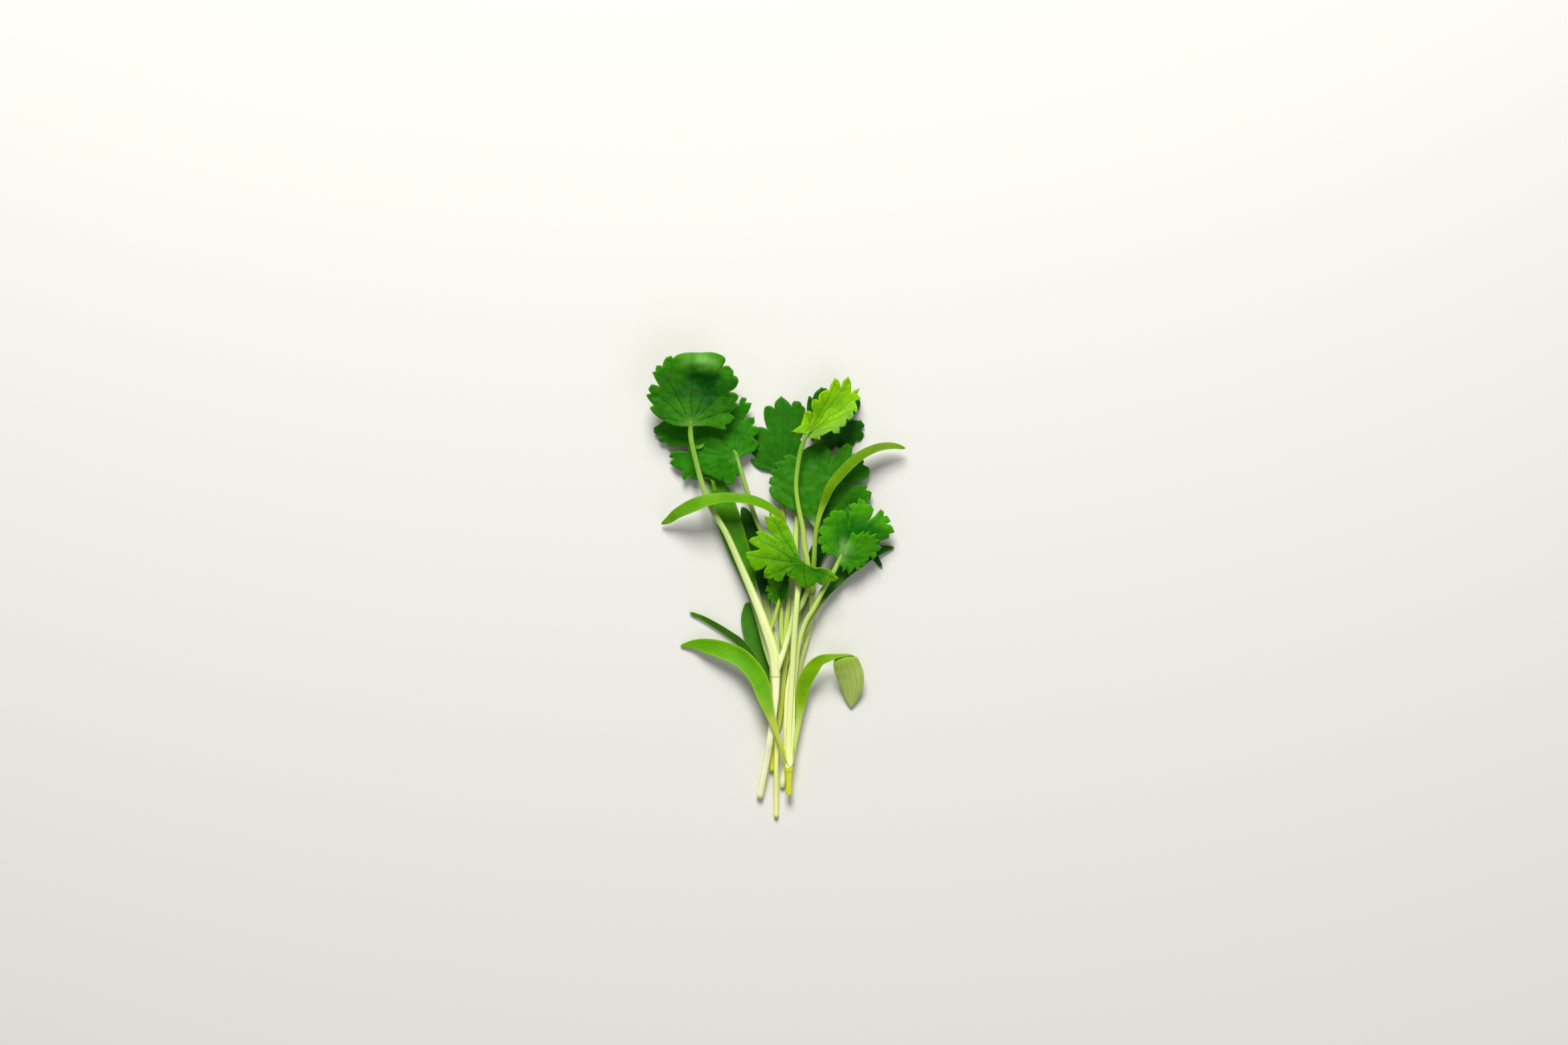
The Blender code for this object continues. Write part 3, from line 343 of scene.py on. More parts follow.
ROUND_SEED_LEAF = [
    (-0.1, -30.4, 1.9, 1.0, 0), (-0.7, -27.5, 1.8, 0.8, 0), (-1.2, -22.9, 1.4, 1.2, 0),
    (-1.7, -18.3, 1.0, 2.2, 0), (-3.2, -13.8, 0.8, 3.4, 0), (-4.6, -9.9, 0.75, 3.8, 0),
    (-5.4, -6.2, 0.7, 3.4, 0), (-5.8, -3.2, 0.5, 1.0, 0),
]

print("the broad seed leaf is", max(point[3] for point in BROAD_SEED_LEAF), "mm wide")

# %% [markdown]
# For a true leaf each row of the margin is one tooth, from its notch to the next one, and the posts give the
# height of the blade at a few places. The first point of a margin is where the petiole joins.

# %% Outlines and posts of the true leaves
FAN_MARGIN = [
    [(-16.8, 30.9), (-18.9, 31.0), (-20.6, 31.4), (-23.3, 32.9), (-24.7, 34.5)],
    [(-24.0, 35.1), (-25.1, 36.4), (-25.3, 37.0)],
    [(-24.5, 37.4), (-25.0, 38.2), (-24.4, 39.0)],
    [(-22.9, 38.8), (-23.7, 40.3), (-24.1, 41.3)],
    [(-23.6, 41.7), (-23.3, 42.7)],
    [(-22.3, 42.7), (-21.5, 44.2), (-20.6, 44.7)],
    [(-20.2, 44.2), (-19.3, 44.9), (-17.6, 45.3), (-15.0, 45.3), (-12.3, 45.3), (-10.1, 44.3)],
    [(-10.5, 42.6), (-9.4, 42.6), (-8.5, 41.8)],
    [(-8.5, 41.0), (-7.7, 40.5), (-7.6, 39.7), (-8.0, 38.6)],
    [(-9.2, 37.7), (-8.1, 37.5), (-7.6, 36.9)],
    [(-8.1, 35.8), (-7.9, 35.1), (-8.4, 34.2)],
    [(-9.3, 33.5), (-8.4, 32.6), (-9.2, 31.6)],
    [(-10.2, 31.3), (-9.9, 30.4), (-11.4, 30.5), (-13.4, 31.0), (-15.4, 31.0)],
]
FAN_POSTS = [
    (-16.8, 31.2, 6.4), (-21.5, 32.5, 6.0), (-11.0, 31.0, 5.8), (-24.6, 38.0, 6.2), (-16.5, 37.0, 5.6),
    (-8.2, 38.0, 6.2), (-23.0, 42.5, 6.6), (-15.0, 43.0, 7.4), (-15.0, 45.3, 7.0), (-10.0, 44.0, 6.8),
]

MIDDLE_MARGIN = [
    [(5.4, 4.4), (4.4, 5.7), (3.7, 7.7), (2.9, 10.0), (1.9, 12.0), (1.3, 12.4)],
    [(0.95, 12.8), (0.55, 13.4)],
    [(0.2, 13.1), (-0.4, 13.8)],
    [(-0.7, 13.3), (-1.4, 14.4)],
    [(-1.55, 13.35), (-2.35, 13.4), (-2.2, 12.4)],
    [(-1.8, 11.8), (-2.1, 11.2), (-1.4, 10.4), (-0.5, 9.6)],
    [(0.3, 8.8), (-1.2, 9.9), (-2.8, 10.5), (-4.1, 10.5)],
    [(-3.7, 9.7), (-4.9, 9.4), (-5.4, 8.7)],
    [(-3.3, 7.1), (-4.6, 6.8), (-5.9, 6.5), (-5.9, 5.3)],
    [(-5.4, 4.8), (-5.1, 3.8), (-4.2, 3.1), (-3.1, 3.2)],
    [(-1.8, 4.0), (-2.5, 3.0), (-2.4, 1.7), (-1.4, 1.3)],
    [(-0.7, 1.6), (-0.1, 0.8), (1.0, 1.2), (1.6, 2.3)],
    [(2.0, 3.4), (2.1, 2.1), (3.2, 1.2)],
    [(3.7, 1.3), (4.1, 0.3), (5.4, -0.3), (6.8, -0.1)],
    [(7.7, 0.8), (8.9, 0.3), (9.8, 0.8)],
    [(10.1, 1.0), (11.0, 0.8), (11.8, 1.4)],
    [(11.1, 2.3), (10.1, 3.2), (8.6, 3.6), (7.1, 3.6)],
]
MIDDLE_POSTS = [
    (5.4, 4.6, 7.0), (2.0, 11.0, 6.4), (-1.4, 14.0, 6.7), (0.8, 8.6, 6.3), (-4.0, 10.2, 5.7),
    (-2.5, 6.8, 6.0), (-5.7, 6.0, 5.5), (-2.0, 1.8, 5.6), (2.5, 4.0, 6.6), (5.5, 0.2, 6.2),
    (8.5, 1.0, 6.0), (11.6, 1.5, 5.4), (8.6, 3.4, 6.5),
]

FOLDED_MARGIN = [
    [(5.6, 29.1), (4.9, 29.6), (4.0, 29.7), (3.1, 30.0), (3.7, 30.6)],
    [(4.6, 31.2), (4.9, 32.2), (5.5, 33.8), (6.4, 34.0)],
    [(7.1, 33.5), (6.7, 34.9), (6.9, 36.0), (7.7, 36.3)],
    [(8.0, 35.9), (8.6, 37.4), (9.7, 38.2)],
    [(10.1, 37.9), (10.5, 39.2), (11.2, 40.1), (11.9, 40.1)],
    [(12.5, 38.6), (12.9, 39.9), (13.8, 40.5), (14.4, 39.6)],
    [(14.4, 37.5), (15.0, 38.1), (15.9, 38.3)],
    [(15.6, 37.4), (16.0, 36.5)],
    [(15.2, 36.0), (15.6, 34.7), (15.4, 33.9)],
    [(14.7, 34.2), (14.6, 32.9), (13.9, 32.2)],
    [(13.5, 32.6), (13.1, 31.3), (12.3, 30.8)],
    [(12.1, 31.3), (11.9, 29.9), (11.0, 29.6)],
    [(10.6, 30.2), (9.7, 29.7), (8.8, 29.3)],
    [(8.3, 29.6), (8.1, 28.5), (6.8, 28.7)],
]
FOLDED_POSTS = [
    (5.7, 29.2, 6.0), (3.6, 30.1, 6.2), (8.5, 31.4, 5.0), (12.0, 33.8, 4.2), (15.3, 36.6, 3.6),
    (6.2, 34.0, 5.6), (9.5, 37.8, 4.6), (11.6, 40.0, 4.3), (13.8, 40.2, 3.9), (15.2, 33.9, 5.4),
    (13.0, 31.4, 6.2), (10.6, 29.8, 6.8), (8.0, 28.8, 6.8),
]

LARGE_MARGIN = [
    [(7.5, 10.8), (6.3, 12.6), (5.4, 13.4), (3.4, 14.5), (1.1, 15.8), (-0.8, 17.1), (-1.5, 18.3),
     (-1.4, 19.2)],
    [(-0.7, 19.5), (-1.5, 20.1), (-1.4, 21.0)],
    [(-0.6, 21.4), (-1.2, 22.2), (-0.3, 22.7)],
    [(0.2, 22.9), (-0.3, 23.8), (0.8, 24.4)],
    [(1.5, 24.3), (1.4, 25.3), (2.7, 25.6)],
    [(3.7, 25.1), (4.5, 26.1), (6.6, 27.3), (8.4, 27.7), (9.7, 27.3), (10.6, 25.8)],
    [(9.9, 23.4), (11.0, 25.3), (12.5, 27.0), (13.7, 27.8), (14.7, 27.0)],
    [(14.5, 25.6), (15.9, 25.5), (16.9, 24.5)],
    [(16.8, 23.6), (18.0, 22.9), (17.9, 21.4), (16.4, 20.4)],
    [(14.2, 19.6), (15.9, 19.7), (17.5, 19.6)],
    [(17.3, 18.7), (18.4, 18.1), (18.2, 17.0)],
    [(17.5, 16.4), (17.9, 15.2), (16.9, 13.9), (15.4, 13.1)],
    [(13.3, 13.1), (12.0, 12.1), (10.5, 11.3), (8.9, 10.6)],
]
LARGE_POSTS = [
    (7.5, 10.9, 2.9), (5.2, 13.6, 3.0), (-1.2, 19.0, 1.8), (0.2, 24.0, 1.6), (4.2, 19.0, 2.7),
    (6.6, 27.0, 2.1), (10.0, 23.0, 2.5), (10.0, 17.0, 2.8), (13.7, 27.4, 1.9), (17.8, 22.0, 1.6),
    (14.2, 19.6, 2.2), (18.0, 17.4, 1.6), (16.0, 13.6, 1.8), (11.0, 11.8, 2.5),
]

BACK_MARGIN = [
    [(7.3, 27.4), (6.3, 29.7), (5.9, 32.3), (5.8, 34.9), (6.2, 37.0)],
    [(6.9, 36.6), (7.5, 37.8), (8.6, 38.6), (9.8, 38.4)],
    [(10.1, 37.5), (11.5, 38.4), (13.1, 38.2)],
    [(13.2, 37.3), (14.9, 37.5), (16.2, 36.2), (15.9, 34.5)],
    [(13.4, 31.7), (14.9, 32.3), (16.3, 32.2), (17.1, 31.3)],
    [(16.3, 30.4), (16.9, 29.5), (16.4, 28.4)],
    [(15.4, 28.3), (14.4, 27.3), (12.5, 26.9)],
    [(11.5, 27.4), (10.5, 26.6), (8.9, 26.8)],
]
BACK_POSTS = [
    (7.3, 27.4, 0.9), (6.0, 34.0, 1.7), (8.8, 38.2, 1.8), (13.0, 37.8, 1.5), (16.0, 35.8, 0.9),
    (12.0, 32.0, 1.4), (17.0, 31.2, 0.7), (16.4, 28.6, 0.4), (12.0, 27.0, 0.5),
]

TRIPLE_MARGIN = [
    [(12.1, 4.9), (11.0, 5.8), (9.8, 6.1)],
    [(9.9, 6.5), (8.9, 6.6), (8.5, 7.5)],
    [(8.9, 7.9), (8.0, 8.4), (8.1, 9.5)],
    [(8.8, 9.7), (8.2, 10.6), (8.6, 11.6)],
    [(9.3, 11.6), (9.2, 12.7), (9.9, 13.4)],
    [(10.3, 13.2), (10.6, 14.3), (11.4, 14.8)],
    [(11.9, 14.5), (12.5, 14.8), (13.3, 14.2), (13.9, 12.5)],
    [(14.0, 10.4), (13.9, 12.3), (14.0, 14.3)],
    [(14.5, 14.4), (14.2, 15.6), (15.1, 16.2)],
    [(15.6, 15.8), (16.0, 16.8), (17.1, 16.6)],
    [(17.3, 16.0), (18.2, 15.8), (18.6, 14.8), (18.4, 13.6)],
    [(17.7, 12.6), (18.9, 13.5), (20.1, 14.7), (20.8, 14.4)],
    [(20.7, 13.6), (21.5, 13.6), (21.9, 12.6)],
    [(21.2, 12.1), (22.3, 11.7), (22.7, 10.6)],
    [(21.9, 10.1), (21.5, 9.2), (20.3, 8.8)],
    [(19.5, 7.9), (17.5, 6.9), (15.0, 5.8), (13.0, 4.9)],
]
TRIPLE_POSTS = [
    (12.1, 5.0, 4.2), (9.6, 6.6, 5.2), (8.3, 9.5, 5.6), (9.2, 12.4, 5.4), (12.0, 14.6, 5.0),
    (14.0, 10.2, 4.0), (15.0, 15.9, 4.5), (18.4, 14.0, 3.9), (20.6, 14.2, 3.5), (22.4, 10.8, 3.1),
    (17.0, 8.0, 3.7), (19.6, 6.2, 3.2), (16.6, 3.8, 3.5), (13.4, 3.0, 4.0),
]

FLAT_MARGIN = [
    [(1.2, 21.2), (-0.3, 21.7), (-1.5, 22.3), (-2.5, 22.5), (-3.3, 22.7), (-4.5, 23.5), (-5.1, 24.5)],
    [(-3.8, 24.8), (-4.9, 25.7), (-5.1, 26.6)],
    [(-3.4, 27.0), (-4.5, 28.2), (-4.4, 29.4), (-3.6, 31.0)],
    [(-1.8, 30.6), (-2.5, 32.7), (-2.5, 34.7), (-1.5, 35.2)],
    [(-0.6, 34.7), (-0.3, 36.0), (0.8, 36.9), (1.9, 36.2)],
    [(2.8, 35.2), (3.4, 36.0), (4.4, 36.0)],
    [(4.9, 35.2), (5.4, 34.5), (5.4, 33.4)],
    [(4.9, 32.6), (5.3, 31.0), (4.9, 29.5)],
    [(4.4, 29.0), (4.9, 27.4), (4.4, 25.6), (3.2, 23.5)],
]
FLAT_POSTS = [
    (1.2, 21.4, 0.55), (-4.8, 25.0, 0.35), (-4.0, 29.6, 0.4), (0.5, 28.5, 0.6), (-2.0, 34.8, 0.4),
    (1.0, 36.4, 0.4), (5.2, 34.0, 0.45), (4.8, 27.5, 0.4),
]

UNDER_MARGIN = [
    [(-7.7, 24.9), (-7.1, 24.0), (-6.9, 22.7), (-7.5, 21.4)],
    [(-8.2, 21.9), (-8.4, 20.1), (-9.4, 19.7), (-10.1, 20.1)],
    [(-10.3, 20.9), (-11.0, 20.4), (-12.7, 21.2), (-14.2, 21.8)],
    [(-15.1, 21.9), (-15.6, 20.8), (-16.8, 20.8)],
    [(-17.1, 21.7), (-18.1, 20.6), (-18.6, 21.4)],
    [(-18.1, 22.6), (-19.7, 22.9), (-20.8, 23.9)],
    [(-20.2, 24.8), (-21.1, 25.2), (-20.5, 26.1), (-19.2, 26.3)],
    [(-17.4, 26.2), (-17.9, 27.2), (-19.6, 27.3), (-21.0, 27.2)],
    [(-21.8, 28.0), (-22.8, 28.0), (-23.2, 28.7)],
    [(-22.0, 29.2), (-23.4, 29.3), (-24.0, 30.0), (-24.1, 30.9)],
    [(-23.2, 31.4), (-21.5, 32.6), (-19.0, 33.6), (-15.0, 33.8), (-12.4, 32.6)],
    [(-11.6, 31.4), (-10.6, 33.0), (-9.4, 34.4), (-8.3, 35.6)],
    [(-7.5, 35.4), (-6.9, 36.6), (-6.0, 36.6)],
    [(-6.2, 35.7), (-5.1, 35.5), (-5.4, 34.4)],
    [(-6.8, 32.2), (-6.0, 32.8), (-4.6, 32.8), (-4.4, 31.9)],
    [(-5.0, 31.2), (-3.7, 30.8), (-3.8, 29.7)],
    [(-5.0, 29.0), (-4.1, 28.4), (-3.7, 27.4), (-4.6, 26.2), (-6.2, 25.5)],
]
UNDER_POSTS = [
    (-7.7, 24.9, 3.2), (-9.4, 20.3, 3.0), (-14.2, 22.0, 2.7), (-18.2, 21.2, 1.9), (-20.8, 24.6, 1.6),
    (-12.5, 26.0, 3.0), (-16.5, 28.0, 2.4), (-23.8, 30.2, 1.3), (-15.0, 33.4, 2.4), (-10.0, 30.0, 2.9),
    (-7.0, 36.2, 2.6), (-5.4, 32.4, 2.0), (-4.0, 28.0, 1.9),
]

SMALL_MARGIN = [
    [(0.2, -4.0), (-0.7, -3.6), (-1.1, -3.0)],
    [(-0.8, -2.6), (-1.6, -2.5), (-1.9, -1.7)],
    [(-1.4, -1.4), (-2.0, -0.9), (-2.0, 0.0)],
    [(-1.4, 0.1), (-1.9, 0.9), (-1.5, 1.7), (-0.3, 2.2), (1.2, 2.3), (2.4, 2.2)],
    [(2.2, 1.2), (2.3, 0.1), (2.0, -1.2), (1.5, -2.5)],
]
SMALL_POSTS = [
    (0.2, -3.8, 2.6), (-1.6, -1.6, 3.0), (-1.6, 1.4, 3.8), (0.4, -0.6, 3.0), (2.2, 1.8, 3.9),
    (1.9, -1.4, 3.4),
]

print("the fan leaf's margin has", len(FAN_MARGIN), "rows, the triple leaf's", len(TRIPLE_MARGIN))

# %% [markdown]
# A true leaf is a flat blade, cut into lobes with rounded teeth. From above only its outline shows, and the
# way it lies shows in its shading. So each blade is drawn as an outline, one row of points for each tooth,
# and a few posts that say how high it passes there. The surface between the posts is the smoothest one that
# goes through them, the way a thin metal sheet would bend.

# %% Outlines and heights of the true leaves
LONGEST_TOOTH = 4.2


def swollen(side, outward):
    """Give one side of a tooth a slight belly where it was drawn as a straight line."""
    if len(side) > 2:
        return side
    return [side[0], (side[0] + side[1]) / 2 + 0.13 * np.linalg.norm(side[1] - side[0]) * outward, side[1]]


def tooth_line(tooth, step, point):
    """Run along one tooth, with a small point at its tip. A long smooth stretch of margin has no point."""
    rows = [np.array(spot, dtype=float) for spot in tooth]
    chord = rows[-1] - rows[0]
    apart = [abs(float(chord[0] * (row - rows[0])[1] - chord[1] * (row - rows[0])[0])) for row in rows]
    tip = int(np.argmax(apart))
    if np.linalg.norm(chord) > LONGEST_TOOTH or tip in (0, len(rows) - 1):
        return smooth_route(rows, step)
    outward = rows[tip] - (rows[0] + rows[-1]) / 2
    outward = outward / np.linalg.norm(outward)
    rows[tip] = rows[tip] + point * outward
    rise = smooth_route(swollen(rows[:tip + 1], outward), step)
    fall = smooth_route(swollen(rows[tip:], outward), step)
    return np.concatenate((rise[:-1], fall))


def margin_line(margin, step, point=0.12):
    """Join the teeth into one closed line, sharp in the notches."""
    line = []
    for tooth, following in zip(margin, margin[1:] + margin[:1]):
        line += list(tooth_line(tooth + following[:1], step, point)[:-1])
    return np.array(line)


def tooth_tips(margin, point=0.0):
    """Find the point of every tooth that stands furthest from the line between its notches."""
    tips = []
    for tooth, following in zip(margin, margin[1:] + margin[:1]):
        line = tooth_line(tooth + following[:1], 0.1, point)
        chord = line[-1] - line[0]
        apart = np.abs((line - line[0])[:, 0] * chord[1] - (line - line[0])[:, 1] * chord[0])
        if np.linalg.norm(chord) < LONGEST_TOOTH:
            tips.append(line[int(np.argmax(apart))])
    return tips


def bending(distance):
    """Return the thin sheet's bend for a distance."""
    return distance ** 2 * np.log(np.maximum(distance, 1e-9))


def smooth_through(posts):
    """Return the smoothest function of a place that has the given value at every post."""
    spots = np.array([post[:2] for post in posts], dtype=float)
    count = len(posts)
    flat = np.column_stack((np.ones(count), spots))
    system = np.zeros((count + 3, count + 3))
    system[:count, :count] = bending(np.linalg.norm(spots[:, None] - spots[None], axis=2))
    system[:count, count:] = flat
    system[count:, :count] = flat.T
    weights = np.linalg.solve(system, np.append([post[2] for post in posts], (0, 0, 0)))

    def value(places):
        near = bending(np.linalg.norm(places[:, None] - spots[None], axis=2))
        return near @ weights[:count] + weights[count] + places @ weights[count + 1:]

    return value


print("the fan leaf has", len(tooth_tips(FAN_MARGIN)), "teeth")

# %% [markdown]
# The veins of a coriander leaf start together where the stalk meets the blade. One strong vein runs to each
# lobe, and thinner ones leave it for every tooth. The rule is simple enough to draw them by formula: a
# strong vein is a curve that starts along the leaf's own direction, and a side vein leaves the strong vein a
# little before the place that is nearest to its tooth.

# %% Veins
# How far apart a vein's points are, how it bends along the leaf's own direction and how far and how widely
# it wanders, how near to a tooth's tip a strong vein has to pass to serve it, and where a side vein leaves
# it, as a multiple of that distance.
VEIN_STEP = 0.2
BEND = 0.36
LEAN = 0.14
SIDE_BEND = 0.45
WANDER = 0.3
WANDER_SIZE = 2.2
TIP_REACHED = 0.5
SIDE_START = 2.0
# How far apart the finest veins start, how long they are, and how many points a side vein has to have
# before it carries any.
TWIG_GAP = 1.5
TWIG_LENGTH = 1.9
TWIG_VEIN = 12


def curve_between(start, control, end):
    """Return points along a bend from start to end, drawn towards the control point."""
    count = max(3, int(np.linalg.norm(end - start) / VEIN_STEP))
    t = np.linspace(0, 1, count)[:, None]
    line = (1 - t) ** 2 * start + 2 * t * (1 - t) * control + t ** 2 * end
    wander = [noise.noise(Vector((x / WANDER_SIZE, y / WANDER_SIZE, 3.0))) for x, y in line]
    level = np.array((start[1] - end[1], end[0] - start[0])) / max(np.linalg.norm(end - start), 1e-6)
    return line + np.array(wander)[:, None] * level * WANDER * np.sin(math.pi * t)


def vein_lines(margin, lobes):
    """Return the strong veins, one for each lobe, and the side veins, one for each tooth."""
    base = np.array(margin[0][0], dtype=float)
    lobes = [np.array(lobe, dtype=float) for lobe in lobes]
    lean = sum(lobe - base for lobe in lobes)
    lean = lean / np.linalg.norm(lean)
    strong = []
    for lobe in lobes:
        reach = np.linalg.norm(lobe - base)
        strong.append(curve_between(base, base + BEND * (lobe - base) + LEAN * reach * lean, lobe))
    side = []
    for tip in tooth_tips(margin):
        gaps = [np.linalg.norm(line - tip, axis=1) for line in strong]
        line, gap = min(zip(strong, gaps), key=lambda pair: pair[1].min())
        nearest = int(np.argmin(gap))
        if gap[nearest] < TIP_REACHED:
            continue
        first = max(3, nearest - int(SIDE_START * gap[nearest] / VEIN_STEP))
        ahead = line[min(first + 2, len(line) - 1)] - line[first - 1]
        ahead = ahead / np.linalg.norm(ahead)
        length = np.linalg.norm(tip - line[first])
        side.append(curve_between(line[first], line[first] + SIDE_BEND * length * ahead, tip))
    return strong, side


def twig_lines(veins):
    """Return the fine veins that leave the stronger ones in turn on both sides."""
    twigs = []
    for vein in veins:
        every = max(2, int(TWIG_GAP / VEIN_STEP))
        for turn, i in enumerate(range(every, len(vein) - 3, every)):
            ahead = vein[i + 1] - vein[i - 1]
            ahead = ahead / np.linalg.norm(ahead)
            level = np.array((-ahead[1], ahead[0])) * (1 if turn % 2 else -1)
            shorter = (1 - 0.5 * i / len(vein)) * (0.8 + 0.4 * noise.noise(Vector((i, turn, 2.0))))
            reach = TWIG_LENGTH * shorter
            end = vein[i] + 0.7 * reach * (ahead + level)
            twigs.append(curve_between(vein[i], vein[i] + 0.5 * reach * ahead, end))
    return twigs


trial_lobes = [(-24, 37), (-16, 45), (-9, 40)]
print("a fan of three lobes has", len(vein_lines(FAN_MARGIN, trial_lobes)[1]), "side veins")

# %% [markdown]
# The mesh of a blade has to carry its veins, so its points follow them: a row on each vein and a row close
# on both sides, with an even grid between. A triangulation that keeps to the outline joins them up. Each
# point also keeps how far it is from the edge and from the nearest vein, for its height and its colour.

# %% Points of a blade
# The spacing of the points between veins and along the margin, the rows beside a vein, the smallest gap
# between points on veins, and the space that is left free inside the margin and beside the veins.
GRID = 0.34
MARGIN_STEP = 0.24
BESIDE_VEIN = 0.13
CLOSEST = 0.11
FROM_EDGE = 0.12
FROM_LINES = 0.2


def distance_tree(points):
    """Return a search tree that finds the nearest of many flat points."""
    tree = KDTree(len(points))
    for i, (x, y) in enumerate(points):
        tree.insert((x, y, 0.0), i)
    tree.balance()
    return tree


def far_from(tree, places):
    """Return the distance of every place from the nearest point in the tree, and that point's number."""
    found = [tree.find((x, y, 0.0)) for x, y in places]
    return np.array([hit[2] for hit in found]), np.array([hit[1] for hit in found])


def blade_points(line, veins):
    """Return the outline's points and those inside it, on the veins and between them."""
    edge = distance_tree(line)
    rows = []
    for vein in veins:
        ahead = np.gradient(vein, axis=0)
        ahead = ahead / np.maximum(np.linalg.norm(ahead, axis=1), 1e-6)[:, None]
        level = np.column_stack((-ahead[:, 1], ahead[:, 0]))
        rows += [vein, vein + BESIDE_VEIN * level, vein - BESIDE_VEIN * level]
    kept = {}
    for x, y in np.concatenate(rows):
        kept.setdefault((round(x / CLOSEST), round(y / CLOSEST)), (x, y))
    vein_spots = np.array(list(kept.values()))
    vein_spots = vein_spots[far_from(edge, vein_spots)[0] > FROM_EDGE]
    low, high = line.min(axis=0), line.max(axis=0)
    height = GRID * math.sqrt(0.75)
    rows = []
    for j in range(int((high[1] - low[1]) / height) + 1):
        x = np.arange(low[0] + 0.5 * GRID * (j % 2), high[0], GRID)
        rows.append(np.column_stack((x, np.full(len(x), low[1] + j * height))))
    grid = np.concatenate(rows)
    clear = far_from(edge, grid)[0] > FROM_LINES
    clear &= far_from(distance_tree(vein_spots), grid)[0] > FROM_LINES
    return np.concatenate((line, vein_spots, grid[clear]))


trial_line = margin_line(SMALL_MARGIN, MARGIN_STEP)
trial_veins = vein_lines(SMALL_MARGIN, [(-1.6, -1.9), (-0.4, 2.1)])[0]
print("the small leaf with two veins has", len(blade_points(trial_line, trial_veins)), "points")


# %% [markdown]
# A real blade is about a third of a millimetre thick and thins out to its edge. It has two skins, so the
# upper and the lower side can have their own colours, and a narrow wall closes them along the margin. On the
# upper side the blade sinks a little at every vein and swells between them, and its edge is ruffled.

# %% Blades of the true leaves
# The blade's thickness in its middle and at its edge, and how wide the thin edge is.
THICKNESS = 0.28
EDGE_THICKNESS = 0.13
EDGE_WIDTH = 0.12
# The finer margin from which distances are measured, and what still counts as on it.
FINE_STEP = 0.05
AT_EDGE = 0.03
# The sizes of the broad and the small waves, of the swollen cells between veins, and of the groove.
WAVE = 2.8
WAVELET = 1.1
CELL = 0.7
GROOVE = 0.04
GROOVE_WIDTH = 0.35
# How wide the veins are drawn.
VEIN_WIDTH = 0.11
SIDE_VEIN_WIDTH = 0.075
TWIG_WIDTH = 0.09


def seed_of(name):
    """Turn a name into a number, so that every piece has noise of its own."""
    return float(sum(ord(letter) for letter in name))


def ruffled(places, scale, seed):
    """Return a soft random height for every place."""
    return np.array([noise.noise(Vector((x / scale, y / scale, seed))) for x, y in places])


def around(places, x, y, radius):
    """Return a soft spot that fades out from its middle."""
    return np.exp(-((places - (x, y)) ** 2).sum(1) / radius ** 2)


def carry(mesh, values):
    """Store named numbers on the points of a mesh."""
    for name, row in values.items():
        numbers = mesh.attributes.new(name, "FLOAT", "POINT").data
        numbers.foreach_set("value", np.asarray(row, dtype=np.float32))


def two_skins(name, middle, faces, half, values):
    """Close a thin blade: an upper skin, a lower one and the wall between them along the margin."""
    sheet = bpy.data.meshes.new(name + "_sheet")
    sheet.from_pydata((middle * MM).tolist(), [], faces)
    normals = np.zeros(len(middle) * 3)
    sheet.vertices.foreach_get("normal", normals)
    normals = normals.reshape(-1, 3)
    bpy.data.meshes.remove(sheet)
    count = len(middle)
    upper = middle + normals * half[:, None]
    lower = middle - normals * half[:, None]
    once = {}
    for face in faces:
        for a, b in zip(face, face[1:] + face[:1]):
            once[(a, b)] = True
    border = [(a, b) for a, b in once if (b, a) not in once]
    shell = [tuple(face) for face in faces]
    shell += [tuple(i + count for i in reversed(face)) for face in faces]
    shell += [(b, a, a + count, b + count) for a, b in border]
    mesh = bpy.data.meshes.new(name)
    mesh.from_pydata((np.concatenate((upper, lower)) * MM).tolist(), [], shell)
    mesh.polygons.foreach_set("use_smooth", [True] * len(shell))
    carry(mesh, {key: np.tile(row, 2) for key, row in values.items()})
    carry(mesh, {"under": np.repeat((0.0, 1.0), count)})
    return mesh


